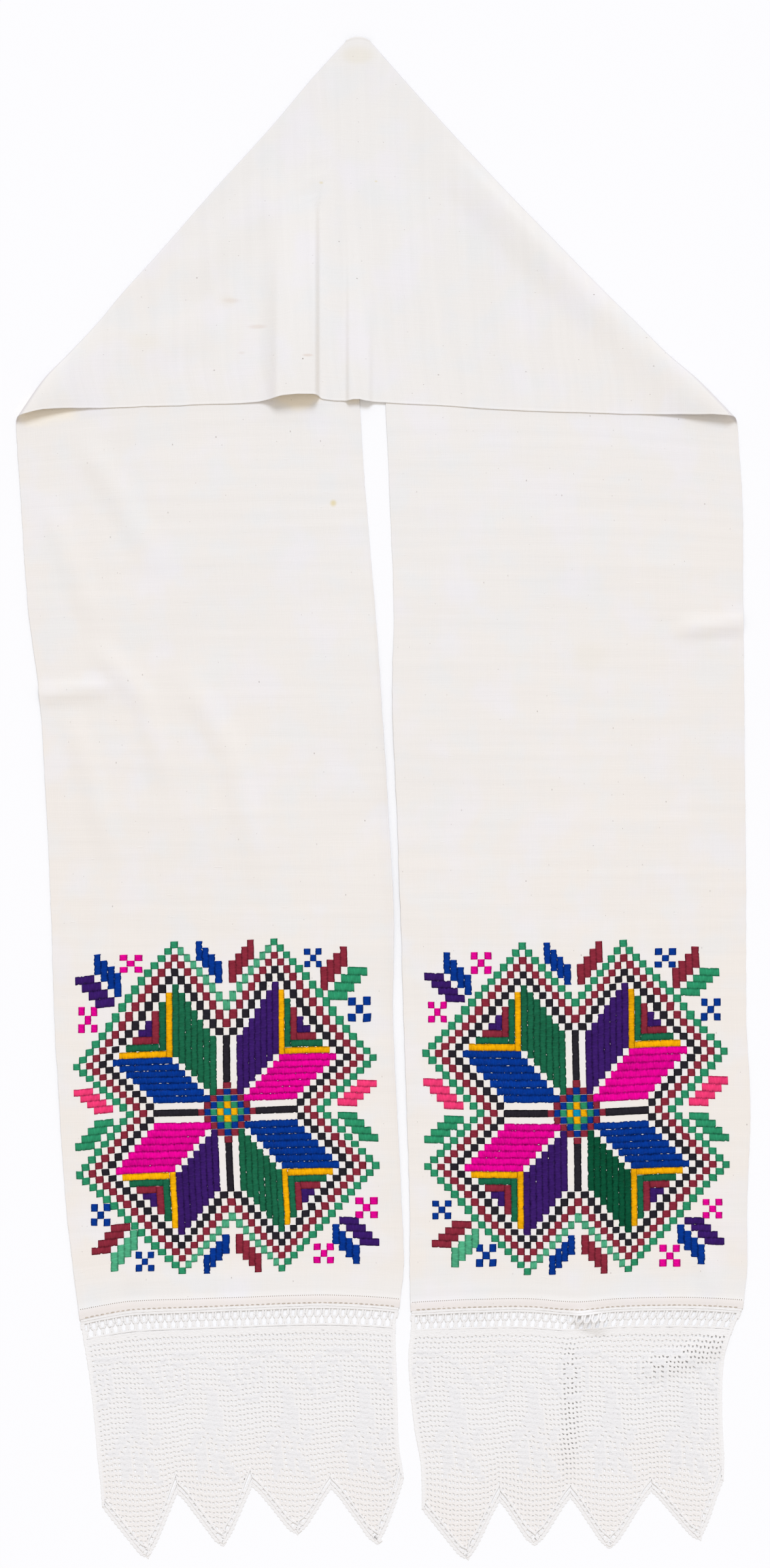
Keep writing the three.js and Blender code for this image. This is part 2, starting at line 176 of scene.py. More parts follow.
# share of the width from the left, depth of the pointed edge there
LACE_POINTS = {
    -1: [
        (0, 187), (0.152, 248.2), (0.25, 176.2), (0.401, 239.8), (0.497, 172.2), (0.645, 229.5),
        (0.757, 175.6), (0.91, 240), (1, 167),
    ],
    1: [
        (0, 198), (0.156, 254.8), (0.258, 188), (0.377, 241), (0.493, 184.6), (0.625, 244.2),
        (0.761, 178.4), (0.926, 235.5), (1, 169),
    ],
}

PIECE_GAP = 0.12
SIDE_NAMES = {-1: "left", 1: "right"}

# ---------------- the embroidery's chart
# A cell is (column, row), counted from the middle of the star, rows upwards.

DIAMOND = ["turquoise", "yellow", "light_green", "blue", "maroon"]
BORDERS = {11: "black", 13: "maroon", 15: "light_green"}
BORDER_TURN = 16
BORDER_REACH = 24  # no chain goes farther from the middle
ARM_BAR = (5, 11)
PETAL = (2, 8)
PETAL_LENGTH = 9
PETAL_COLOURS = {1: ("purple", "pink"), -1: ("dark_green", "blue")}
CORNER_BARS = [("yellow", 9, 16), ("dark_green", 10, 15), ("maroon", 11, 14), ("purple", 12, 13)]
LEAF = (16, 19)
LEAF_LENGTH = 3
VALLEY_LEAF = (17, 4)

# sign of the column, sign of the row: colour of the upright bars, colour of the level ones
CORNER_LEAVES = {
    (-1, 1): ("blue", "purple"), (1, 1): ("maroon", "light_green"),
    (-1, -1): ("light_green", "maroon"), (1, -1): ("blue", "purple"),
}

# for each panel: where its middle is, where the columns and rows of these stations are from
# there, how far each row leans sideways and each column up, how far the corner leaves stand off
# their places, and the small crosses outside: x, y, width and height of a cell, colour
COLUMN_STATIONS = (-23.5, -12.5, -8.5, -1.5, 0, 1.5, 8.5, 12.5, 23.5)
ROW_STATIONS = (-23.5, -19, -15, -12.5, -8.5, -1.5, 0, 1.5, 8.5, 12.5, 15, 19, 23.5)
PANELS = {
    -1: {
        "middle": (-147.0, -705.0),
        "columns": (-152.4, -80.5, -53.6, -10.5, 0, 10.2, 51.7, 76.1, 148.9),
        "rows": (-160.4, -131.4, -104, -85.8, -58.7, -9.9, 0, 10.3, 55.3, 83.7, 106.4, 139.7, 170.4),
        "lean": [(-23, 5.4), (-15, 4.7), (-10, 2.7), (0, 0), (10, -1.0), (15, -1.2), (23, -2.6)],
        "tilt": [(-23, -7.7), (-15, -2.5), (0, 0), (15, 3.1), (23, 1.8)],
        "leaf_shift": {(-1, 1): (-4, -2.5), (1, 1): (-1.5, -2), (-1, -1): (5.5, 0), (1, -1): (3.5, 0)},
        "crosses": [
            (-95.9, 147.2, 7.3, 6.0, "pink"), (-138.8, 91.2, 6.3, 8.4, "pink"),
            (84.8, 153.1, 5.7, 6.3, "blue"), (130.9, 101.9, 7.4, 8.2, "blue"),
            (-126, -102.5, 6.3, 7.4, "blue"), (-82, -148.7, 5.9, 6.5, "blue"),
            (137.9, -95.3, 7.4, 7.0, "pink"), (95.6, -140.6, 6.5, 6.6, "pink"),
        ],
    },
    1: {
        "middle": (200.0, -706.4),
        "columns": (-152.3, -79.3, -53.8, -10.2, 0, 10.3, 52.7, 77.9, 150.9),
        "rows": (-160.4, -130.7, -104.2, -84.5, -57.6, -10.4, 0, 11, 62.1, 89.7, 110.2, 137.8, 170.2),
        "lean": [(-23, 1.4), (-15, 1.2), (-10, 0.8), (0, 0), (10, -1.6), (15, -1.7), (23, -3.9)],
        "tilt": [(-23, 1.4), (-15, 0), (0, 0), (15, 4.2), (23, 3.2)],
        "leaf_shift": {(-1, 1): (-3.5, -3.5), (1, 1): (0, -1), (-1, -1): (0, 0), (1, -1): (1, 0)},
        "crosses": [
            (-95.1, 149.4, 6.8, 7.2, "pink"), (-138.6, 100.5, 6.0, 6.8, "pink"),
            (87.8, 154.2, 6.8, 6.4, "blue"), (132.9, 103.2, 6.4, 7.4, "blue"),
            (-134.2, -95.9, 6.2, 6.2, "blue"), (-90.1, -141.2, 6.6, 7.4, "blue"),
            (134.7, -94.8, 6.3, 6.6, "pink"), (92.2, -141.4, 6.7, 7.2, "pink"),
        ],
    },
}

# ---------------- the lace's chart
# Twenty meshes across; the filled ones of each row. The rows that aren't named are open.

LACE_REPEAT = 20
LACE_FIRST_COLUMN = 2
FILLED_MESHES = {
    4: (0, 1, 2, 3, 4, 5, 6), 5: (4, 7, 8, 17, 18), 6: (0, 1, 2, 9, 10, 16),
    7: (3, 11, 12, 16, 18, 19), 8: (1, 3, 12, 13, 16, 18, 19), 9: (1, 3, 12, 13, 14, 17),
    10: (0, 3, 7, 14, 15, 18), 11: (3, 7, 8, 9, 15, 16), 12: (2, 8, 9, 10, 16),
    13: (0, 1, 8, 9, 10, 18, 19), 14: (8, 9, 10), 15: (8, 9, 10, 11), 16: (8, 9, 10, 11),
    17: (7, 8, 9, 10, 11), 18: (6, 7, 8, 9, 10, 11), 19: (7, 8, 9, 11, 14, 15),
    20: (4, 5, 6, 8, 9, 13, 14), 21: (3, 4, 5, 7, 9, 10, 11, 13, 14), 22: (3, 4, 6, 10, 12),
    23: (1, 2, 3, 5, 6, 8, 10), 24: (4, 5, 6, 8, 9, 10, 11), 25: (4, 5, 6, 8, 9, 11, 12),
    26: (4, 5, 6, 8, 9, 11, 12, 13), 27: (4, 5, 9, 12, 13), 28: (4, 13, 14),
}


def srgb(code):
    """A colour written as six hexadecimal digits, as linear red, green and blue."""
    channels = [int(code[i : i + 2], 16) / 255 for i in (0, 2, 4)]
    return tuple(c / 12.92 if c <= 0.04045 else ((c + 0.055) / 1.055) ** 2.4 for c in channels)


# ---------------- settings


def colour_setting(name, description, code):
    return bpy.props.FloatVectorProperty(
        name=name, description=description, default=srgb(code), subtype="COLOR", size=3, min=0, max=1
    )


def number_setting(name, description, default, **kind):
    return bpy.props.FloatProperty(name=name, description=description, default=default, **kind)


def length_setting(name, description, millimetres):
    return number_setting(name, description, millimetres * MM, unit="LENGTH", min=0, precision=5)


def angle_setting(name, description, degrees):
    return number_setting(name, description, math.radians(degrees), subtype="ANGLE")


class RushnykClothSettings(bpy.types.PropertyGroup):
    thickness: length_setting("Thickness", "Thickness of the homespun", 0.65)
    hem_thickness: length_setting("Hem thickness", "Thickness of the turned hem", 1.0)
    yarn_pitch: length_setting("Yarn pitch", "Distance between neighbouring yarns", 0.95)
    colour: colour_setting("Cloth", "Homespun in the triangle", "F0EDE9")
    aged: colour_setting("Aged cloth", "Homespun towards the hems, where it has yellowed", "F2EAE1")
    cool: colour_setting("Washed cloth", "Cool clouds where bluing has stayed in the cloth", "EDECEA")
    blush: colour_setting("Blush", "Faintly lilac clouds", "F1EDEE")
    fleck: colour_setting("Flecks", "Bits of husk and dark fibre in the yarn", "7A6C60")
    # Painted shade: grey along the folded edges, which darkens their lit rolls
    fold: colour_setting("Fold", "Grey of the worn folded edges", "D6D1D0")
    hem: colour_setting("Hem", "The turned hem, which is double", "EDE3DC")
    smudge: colour_setting("Smudges", "Faint brown smudges", "D9C2B2")
    shade: colour_setting("Under the fold", "Warm light thrown back under the front selvedge", "FFF4E0")
    stain: colour_setting("Stain", "Old yellow stain", "E3D3A0")


class RushnykThreadSettings(bpy.types.PropertyGroup):
    height: length_setting("Height", "How high the satin stitch stands on the cloth", 0.58)
    strand: length_setting("Strand", "Distance between neighbouring strands of floss", 0.55)
    black: colour_setting("Black", "Floss of the arms and the inner chain", "28252C")
    maroon: colour_setting("Maroon", "Floss of the middle chain", "8E2C3C")
    light_green: colour_setting("Light green", "Floss of the outer chain", "2F9468")
    pale_green: colour_setting("Pale green", "Faded floss of the outer chain", "52AE83")
    # Painted sheen: a lighter copy of the light green, for cells of the outer chain whose strands run
    # upwards; the lower corner leaves take it too
    dark_green: colour_setting("Dark green", "Floss of the upright petals", "1C6848")
    deep_green: colour_setting("Deep green", "Darker lot of the petals' floss", "0A5236")
    purple: colour_setting("Purple", "Floss of the upright petals", "3B1C67")
    blue: colour_setting("Blue", "Floss of the level petals", "053791")
    pink: colour_setting("Pink", "Floss of the level petals", "EC0295")
    yellow: colour_setting("Yellow", "Floss of the corner bars", "FBB206")
    rose: colour_setting("Rose", "Floss of the side leaves", "F93F78")
    turquoise: colour_setting("Turquoise", "Floss of the middle cell", "0893B8")
    seam: colour_setting("Seam thread", "Sewing thread along the hem", "95816F")
    hole: colour_setting("Seam holes", "Shadowed thread in the holes where the lace is joined", "C2B5A6")


class RushnykLaceSettings(bpy.types.PropertyGroup):
    rib: length_setting("Rib", "Half the height of the ribs between two rows", 1.68)
    post: length_setting("Post", "Half the width of the posts between two meshes", 1.08)
    thickness: length_setting("Thickness", "Thickness of the lace", 0.68)
    colour: colour_setting("Lace", "Crochet cotton", "F3F0ED")
    aged: colour_setting("Aged lace", "Crochet cotton near the points", "F3EDE7")
    close: colour_setting("Close work", "Filled meshes, which look cooler", "F0EEED")
    border: colour_setting("Border", "Finer cotton of the edges", "F5F2EF")


class RushnykStageSettings(bpy.types.PropertyGroup):
    camera_height: number_setting("Camera height", "Height of the camera", 3.68, unit="LENGTH", min=1)
    sky_level: number_setting("Soft light level", "How bright the soft light makes the floor", 0.689, min=0)
    sun_level: number_setting("Main light level", "How bright the main light makes the floor", 0.405, min=0)
    sun_elevation: angle_setting("Elevation", "Height of the main light", 45)
    sun_width: angle_setting("Width", "Width of the main light in the sky", 22)
    floor: colour_setting("Floor", "Plain pale floor", "FDFCFB")
    sky: colour_setting("Soft light", "Warm light from all round", "FFFAF5")
    sun: colour_setting("Main light", "Cool light from one side", "E3EEFF")


# ---------------- small tools


def mix(a, b, t):
    return a + (b - a) * t


def ease(t):
    """Rises from 0 to 1 with no corner at either end."""
    c = min(1.0, max(0.0, t))
    return c * c * (3 - 2 * c)


def spaced(a, b, count):
    """Numbers from a to b in so many even steps, both ends included."""
    return [mix(a, b, i / count) for i in range(count + 1)]


def look_up(table, column, at):
    """A smooth curve through one column of a table, whose rows are in the order of column 0."""
    last = len(table) - 1
    if at <= table[0][0]:
        return table[0][column]
    if at >= table[last][0]:
        return table[last][column]
    row = 0
    while at > table[row + 1][0]:
        row += 1

    def slope(a, b):
        return (table[b][column] - table[a][column]) / (table[b][0] - table[a][0])

    run = table[row + 1][0] - table[row][0]
    start_slope, end_slope = slope(max(row - 1, 0), row + 1), slope(row, min(row + 2, last))
    t = (at - table[row][0]) / run
    bend = t * (1 - t) * (1 - t) * start_slope - t * t * (1 - t) * end_slope
    return mix(table[row][column], table[row + 1][column], ease(t)) + run * bend


def straight(table, column, at):
    """The same with straight lines between the rows, and carried on past both ends."""
    row = 0
    while row < len(table) - 2 and at > table[row + 1][0]:
        row += 1
    a, b = table[row], table[row + 1]
    return mix(a[column], b[column], (at - a[0]) / (b[0] - a[0]))


def wander(x, y, seed):
    """Smooth noise from -1 to 1."""
    return noise.noise(Vector((x, y, seed)))


# ---------------- the folded strip


def ridge_height(ridge, x, y):
    """The height of one ridge at a place, 0 outside it."""
    from_x, from_y, via_x, via_y, to_x, to_y, half_width, height = ridge
    best = 0.0
    for ax, ay, bx, by, start in ((from_x, from_y, via_x, via_y, 0), (via_x, via_y, to_x, to_y, 0.5)):
        reach = (bx - ax) ** 2 + (by - ay) ** 2
        t = min(1.0, max(0.0, ((x - ax) * (bx - ax) + (y - ay) * (by - ay)) / reach))
        away = math.hypot(x - mix(ax, bx, t), y - mix(ay, by, t)) / half_width
        if away < 1:
            # It rises over its first quarter and sinks over its last third.
            run = start + t / 2
            fade = ease(run * 4) * ease((1 - run) * 3)
            best = max(best, height * fade * (1 - away * away) ** 2)
    return best


def ridges_at(ridges, x, y):
    """The height of the highest ridge at a place; only those whose box holds it are measured."""
    highest = 0.0
    for ridge in ridges:
        xs, ys, reach = ridge[0:6:2], ridge[1:6:2], ridge[6]
        if min(xs) - reach < x < max(xs) + reach and min(ys) - reach < y < max(ys) + reach:
            highest = max(highest, ridge_height(ridge, x, y))
    return highest


def drape(x, y):
    """How the cloth lies a little unevenly."""
    return sum(height * (1 + wander(x / wide, y / long, seed)) for height, wide, long, seed in DRAPES)


def ground_height(x, y):
    """The height of a leg's underside."""
    return ridges_at(LEG_RIDGES, x, y) + drape(x, y)


def fold_x(side, rise):
    return look_up(FOLDS, 1 if side < 0 else 2, rise)


def fold_y(rise):
    return mix(-CORNER_SAG, APEX_HEIGHT, rise / CLOTH_WIDTH)


def leg_place(side, share, rise):
    """A place in a leg: share runs from the inner selvedge to the outer one, and rise from
    the front selvedge up under the triangle, or down the leg where it is negative."""
    table = LEGS[side]
    bow = share**3 if share > 0 else 0.0
    if rise < 0:
        x = mix(look_up(table, 2, -rise), look_up(table, 1, -rise), share)
        lift = look_up(HEM_LIFT[side], 1, share) * ease((-rise - LEG_LENGTH) / HEM_LIFT_REACH + 1)
        return x, rise - look_up(table, 3, -rise) * bow + lift
    up = rise / CLOTH_WIDTH
    inner_x = mix(table[0][2], fold_x(side, CLOTH_WIDTH), up)
    return mix(inner_x, fold_x(side, rise), share), mix(APEX_HEIGHT * up, fold_y(rise), bow)


def triangle_place(flat_x, rise):
    """A place in the triangle, from one on the flat strip."""
    half = FOLD_SUM - rise
    share = (flat_x + half) / (2 * half)
    above = look_up(FRONT_SELVEDGE, 1, mix(FOLDS[0][1], FOLDS[0][2], share))
    dome = APEX_DOME * ease((rise - CLOTH_WIDTH) / APEX_DOME_REACH + 1) * (1 - (2 * share - 1) ** 2)
    y = fold_y(rise) + above * (1 - rise / CLOTH_WIDTH) + dome
    return mix(fold_x(-1, rise), fold_x(1, rise), share), y


def pleat_height(x, across):
    """The pleats stand at the front selvedge and sink into the cloth above it."""
    height = max(0.0, look_up(PLEATS, 1, x))
    return height * (1 - ease(across / look_up(PLEATS, 2, x)))


def roll_half(across):
    """Half the cloth's way round a fold's roll, which is wider near the outer corners."""
    return math.pi / 2 * mix(CORNER_ROLL_RADIUS, ROLL_RADIUS, ease(across / CORNER_ROLL_LENGTH))


def cloth_point(along, across):
    """The underside of the folded cloth at a point of the flat strip."""
    side = -1 if along < 0 else 1
    half = roll_half(across)
    radius = half * 2 / math.pi
    past = (abs(along) + across - FOLD_SUM) / math.sqrt(2)
    near = abs(past)
    even_out = min(ROLL_EVEN_OUT, (FOLD_SUM - across) / math.sqrt(2))
    inset = near
    if near < half:
        inset = radius - radius * math.cos(near / radius)
    elif near < even_out:
        inset = mix(radius, even_out, (near - half) / (even_out - half))
    shift = (past + inset) / math.sqrt(2)
    flat_x, rise = abs(along) - shift, across - shift
    if past < 0:
        x, y = triangle_place(side * flat_x, rise)
        if near < half:
            z = radius + radius * math.sin(near / radius)
        else:
            z = mix(LAYER_STEP, 2 * radius, math.exp(-(((near - half) / ROLL_SETTLE) ** 2)))
        swell = ridges_at(TRIANGLE_RIDGES, x, y) * ease(near / SWELL_START)
        return x, y, z + pleat_height(x, across) + swell + drape(x, y)
    width = CLOTH_WIDTH - max(0.0, rise)
    share = (flat_x - APEX_HALF_WIDTH) / width if width > 0 else 1.0
    x, y = leg_place(side, share, rise)
    if near < half:
        return x, y, radius - radius * math.sin(near / radius) + drape(x, y)
    return x, y, ground_height(x, y)


# ---------------- pieces


def settings(context, part):
    """One group of the settings that the sidebar lists."""
    return getattr(context.scene, "rushnyk_" + part)


def add_piece(name, mesh, material, replaced=None):
    """Puts a finished mesh into the scene as a piece that rides on the towel's one body."""
    mesh.name = name
    mesh.materials.clear()
    mesh.materials.append(material)
    piece = bpy.data.objects.new(name, mesh)
    bpy.context.scene.collection.objects.link(piece)
    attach(piece, "root")
    if replaced:
        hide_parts(replaced)
    return piece


def mesh_from(bm, name, smooth=True):
    """The bmesh as a mesh; the bmesh is used up."""
    for face in bm.faces:
        face.smooth = smooth
    mesh = bpy.data.meshes.new(name)
    bm.to_mesh(mesh)
    bm.free()
    return mesh


# Where x = 0, y = 0 lies in the frame. build_cloth sets it, so that the middle of the cloth's box
# is that of its solid's.
ORIGIN = Vector((0, 0, 0))


def placed(x, y, z):
    """A place in millimetres, as one in the frame."""
    return Vector((x * MM, y * MM, z * MM)) + ORIGIN


def need_cloth():
    """Everything else is laid on the cloth, which has to be there first."""
    if "cloth_sheet" not in bpy.data.objects:
        raise RuntimeError("The cloth isn't laid yet")


# ---------------- materials


class Value:
    """A number socket that takes part in arithmetic; each operation adds its Math node."""

    def __init__(self, graph, socket):
        self.graph, self.socket = graph, socket

    def math(self, operation, *others):
        inputs = dict(enumerate((self, *others)))
        return self.graph.value("ShaderNodeMath", {"operation": operation}, inputs)

    def __add__(self, other):
        return self.math("ADD", other)

    __radd__ = __add__

    def __sub__(self, other):
        return self.math("SUBTRACT", other)

    def __rsub__(self, other):
        return self.graph.value("ShaderNodeMath", {"operation": "SUBTRACT"}, {0: other, 1: self})

    def __mul__(self, other):
        return self.math("MULTIPLY", other)

    __rmul__ = __mul__

    def __truediv__(self, other):
        return self.math("DIVIDE", other)

    def __abs__(self):
        return self.math("ABSOLUTE")

    def sine(self):
        return self.math("SINE")

    def most(self, other):
        return self.math("MAXIMUM", other)

    def least(self, other):
        return self.math("MINIMUM", other)

    def between(self, low, high):
        """0 below low, 1 above high, and a smooth step between them."""
        return self.graph.value(
            "ShaderNodeMapRange",
            {"interpolation_type": "SMOOTHSTEP"},
            {"Value": self, "From Min": low, "From Max": high},
            "Result",
        )


class Graph:
    """The nodes of a material or a world, each made by node()."""

    def __init__(self, holder):
        self.holder = holder
        holder.use_nodes = True
        self.tree = holder.node_tree
        self.tree.nodes.clear()

    def node(self, kind, choices=None, inputs=None):
        """A node of a kind, with its choices set first and then its sockets filled or linked."""
        node = self.tree.nodes.new(kind)
        for key, choice in (choices or {}).items():
            setattr(node, key, choice)
        for key, given in (inputs or {}).items():
            socket = node.inputs[key]
            if isinstance(given, Value):
                given = given.socket
            if isinstance(given, bpy.types.NodeSocket):
                self.tree.links.new(given, socket)
            else:
                socket.default_value = given
        return node

    def value(self, kind, choices=None, inputs=None, output=0):
        return Value(self, self.node(kind, choices, inputs).outputs[output])

    def blend(self, factor, first, second, how="MIX"):
        """Two colours through a Mix node."""
        choices = {"data_type": "RGBA", "blend_type": how, "clamp_factor": True}
        return self.node("ShaderNodeMix", choices, {0: factor, 6: first, 7: second}).outputs[2]

    def toned(self, colour, tone):
        """A colour made lighter or darker by a number."""
        grey = self.node("ShaderNodeCombineColor", {}, {0: tone, 1: tone, 2: tone}).outputs[0]
        return self.blend(1.0, colour, grey, "MULTIPLY")

    def object_place(self):
        return self.node("ShaderNodeTexCoord").outputs["Object"]

    def flat_place(self):
        """A place on the piece's own UV map."""
        return self.node("ShaderNodeUVMap", {"uv_map": "UVMap"}).outputs[0]

    def stretched(self, vector, scale, turn=0.0):
        inputs = {"Vector": vector, "Scale": scale, "Rotation": (0, 0, turn)}
        return self.node("ShaderNodeMapping", {}, inputs).outputs[0]

    def noise(self, vector, scale, detail=2.0, roughness=0.5):
        inputs = {"Vector": vector, "Scale": scale, "Detail": detail, "Roughness": roughness}
        return self.value("ShaderNodeTexNoise", {}, inputs, "Fac")

    def streaks(self, vector, scale, detail=2.0, roughness=0.5, turn=0.0):
        """Noise that is finer one way than the other."""
        return self.noise(self.stretched(vector, scale, turn), 1.0, detail, roughness)

    def split(self, vector):
        parts = self.node("ShaderNodeSeparateXYZ", {}, {0: vector}).outputs
        return [Value(self, part) for part in parts]

    def finish(self, colour, roughness, height, distance, **constants):
        """The surface: a plain shader with a bump, and constants straight on its sockets."""
        bump = self.node("ShaderNodeBump", {}, {"Height": height, "Distance": distance, "Strength": 1.0})
        inputs = {"Base Color": colour, "Roughness": roughness, "Normal": bump.outputs[0]}
        inputs.update({name.replace("_", " "): constant for name, constant in constants.items()})
        shader = self.node("ShaderNodeBsdfPrincipled", {}, inputs)
        self.node("ShaderNodeOutputMaterial", {}, {"Surface": shader.outputs[0]})
        return self.holder


def rgba(colour):
    return (*colour, 1.0)


def varied(start, *patterns):
    """A number that patterns, each from 0 to 1, raise or lower by shares of their own."""
    for pattern, share in patterns:
        start = start + (pattern - 0.5) * share
    return start


# x, y, half length, half height, strength and tint of the marks on the cloth
MARKS = [
    (-42, -100, 5, 5, 0.75, "stain"), (-148, 100, 14, 10, 0.1, "stain"),
    (-230, 62, 20, 14, 0.08, "stain"), (210, -250, 26, 20, 0.07, "stain"),
    (-54, 218, 3, 1.8, 0.5, "stain"), (0.5, 219.5, 2.6, 1.6, 0.5, "stain"),
    (-18, 344, 20, 11, 0.16, "stain"), (-142, 101, 13, 3.6, 0.22, "smudge"),
    (-117, 75, 12, 3.0, 0.28, "smudge"), (-133, 49, 5, 2.4, 0.2, "smudge"),
    (-67, 45.5, 7, 1.8, 0.4, "smudge"), (-72, 42, 1.0, 1.0, 0.7, "fleck"),
    (-80, 12, 36, 21, 1.0, "shade"), (-330, -5, 42, 19, 0.8, "shade"), (-20, 9, 13, 12, 0.8, "shade"),
    (-190, 9, 190, 6, 0.3, "shade"),
]

# scale of the cells, size of a fleck, share of the cells without one, how much narrower the
# cells are across the strip
FLECKS = [(13.0, 0.010, 0.6, 1.6), (23.0, 0.012, 0.75, 2.6), (40.0, 0.014, 0.9, 1.0)]
SELVEDGE = (0.0008, 0.0026)  # metres in from it where its raised edge starts to sink and is gone


def cloth_material(look):
    """Plain-weave homespun. Its UV map holds metres along the strip and across it."""
    graph = Graph(bpy.data.materials.new("Homespun"))
    flat, place = graph.flat_place(), graph.object_place()
    along, across, _ = graph.split(flat)
    x, y, _ = graph.split(place)

    turn = 2 * math.pi / look.yarn_pitch
    wobble = graph.noise(flat, 60.0, 2.0) * 3.0
    warp = (across * turn + wobble).sine()
    weft = (along * turn * 0.9 + wobble).sine()
    weave = warp * weft

    # Yarns of uneven thickness show as fine streaks both ways.
    warp_streaks = graph.streaks(flat, (14, 900, 1), 2.0, 0.6)
    weft_streaks = graph.streaks(flat, (900, 18, 1), 2.0, 0.6)
    broad_streaks = graph.streaks(flat, (120, 4, 1))
    slubs = graph.streaks(flat, (420, 60, 1), 1.0).between(0.74, 0.82)

    # The cloth has yellowed towards its ends, but less so in the last few centimetres.
    clouds = graph.noise(place, 7.0, 3.0)
    fine_clouds = graph.noise(place, 26.0, 3.0)
    blushes = graph.streaks(place, (19, 15, 1), 3.0)
    lower_end = abs(along).between((STRIP_END - 50) * MM, (STRIP_END - 15) * MM)
    ageing = (abs(along) - across * 0.8 + 0.28).between(0.0, 1.4) * 0.78 + clouds * 0.5 - 0.1
    ageing = ageing - lower_end * 0.6
    colour = graph.blend(ageing, rgba(look.colour), rgba(look.aged))
    fresh = 1 - ageing * 0.5
    colour = graph.blend(fine_clouds.between(0.45, 0.68) * fresh * 0.8, colour, rgba(look.cool))
    colour = graph.blend(blushes.between(0.48, 0.68) * fresh * 0.8, colour, rgba(look.blush))

    # The turned hem is double, so it is a little warmer.
    hem = abs(along).between((STRIP_END - HEM_DEPTH - 0.6) * MM, (STRIP_END - HEM_DEPTH + 0.6) * MM)
    colour = graph.blend(hem * 0.6, colour, rgba(look.hem))

    # Painted shade: the folded edges are greyed, which darkens their lit rolls.
    corner = 1 - across.between(0, CORNER_ROLL_LENGTH * MM)
    half_roll = (corner * (CORNER_ROLL_RADIUS - ROLL_RADIUS) + ROLL_RADIUS) * (math.pi / 2 * MM)
    beyond = abs(along) + across - FOLD_SUM * MM
    past = abs(beyond) / math.sqrt(2)
    shaded = 1 - (past / half_roll).between(0.35, 1.0)
    colour = graph.blend(shaded * 0.9, colour, rgba(look.fold))

    # Stains, smudges, and the warm light under the fold, which falls on the lower layer alone.
    lower_layer = beyond.between(0.0, 2 * MM)
    for px, py, half_length, half_height, strength, tint in MARKS:
        centre = placed(px, py, 0)
        dx, dy = (x - centre.x) / (half_length * MM), (y - centre.y) / (half_height * MM)
        away = (dx * dx + dy * dy).math("SQRT") + (fine_clouds - 0.5)
        if tint == "shade":
            mark = (1 - away.between(0.5, 1.1)) * lower_layer * strength
        else:
            mark = (1 - away.between(0.2, 1.0)) * strength
        colour = graph.blend(mark, colour, rgba(getattr(look, tint)))

    # Flecks of husk: only some cells of each pattern hold one.
    flecks = None
    for scale, size, kept, stretch in FLECKS:
        inputs = {"Vector": graph.stretched(flat, (1.0, stretch, 1.0)), "Scale": scale}
        cells = graph.node("ShaderNodeTexVoronoi", {"voronoi_dimensions": "2D"}, inputs)
        chance = graph.split(cells.outputs["Color"])[0]
        outside = Value(graph, cells.outputs["Distance"]).between(size * 0.5, size * 1.6)
        dot = (1 - outside) * chance.between(kept, kept + 0.04)
        flecks = dot if flecks is None else flecks.most(dot)
    colour = graph.blend(flecks * clouds.between(0.2, 0.8) * 0.75, colour, rgba(look.fleck))

    tone = varied(1 + weave * 0.004 + slubs * 0.02, (warp_streaks, 0.035), (weft_streaks, 0.03))
    colour = graph.toned(colour, varied(tone, (broad_streaks, 0.06), (clouds, 0.03)))

    inner = across.least(CLOTH_WIDTH * MM - across).between(*SELVEDGE)
    height = weave * 0.12 + (warp_streaks + weft_streaks + flecks) * 0.5 + slubs * 0.6 - inner * 0.8
    return graph.finish(colour, 0.93 - weave * 0.02, height, 0.00018, Specular_IOR_Level=0.25)


def thread_material(look):
    """Satin stitch. Its UV map holds metres along the strands and across them."""
    graph = Graph(bpy.data.materials.new("Embroidery floss"))
    flat = graph.flat_place()
    stored = graph.node("ShaderNodeAttribute", {"attribute_name": "floss"}).outputs
    floss = stored["Color"]
    crown = Value(graph, stored["Alpha"])  # 1 along the middle of a block, 0 where it meets the next
    _, over, _ = graph.split(flat)

    strands = (over * (2 * math.pi / look.strand) + graph.noise(flat, 500.0) * 4.0).sine()
    lots = graph.streaks(flat, (110, 620, 1), 3.0, 0.65)
    patches = graph.noise(flat, 240.0, 2.0)
    # Painted sheen: streaks of the floss are blended towards near-white.
    sheen = graph.streaks(flat, (260, 1500, 1)).between(0.6, 0.85)
    # Painted shade in the grooves between neighbouring blocks: the floss darkens towards a block's rim.
    groove_shade = 1 - (crown + (patches - 0.5) * 0.2).between(0.7, 0.87)
    tone = varied(1.17 + strands * 0.1 - groove_shade * 0.6, (lots, 1.5), (patches, 0.3))
    colour = graph.blend(sheen * 0.06, graph.toned(floss, tone), (0.9, 0.9, 0.88, 1.0))
    height = strands * 0.5 + lots * 1.2
    return graph.finish(colour, 0.62 - lots * 0.2, height, 0.00022, Specular_IOR_Level=0.03)


def seam_material(name, colour):
    """Sewing thread, a little fuzzy."""
    graph = Graph(bpy.data.materials.new(name))
    fibre = graph.noise(graph.object_place(), 900.0)
    return graph.finish(graph.toned(rgba(colour), fibre + 0.5), 0.8, fibre, 0.0001)


LACE_REACH = (-905, -1145)  # y at the hem and y at the tips


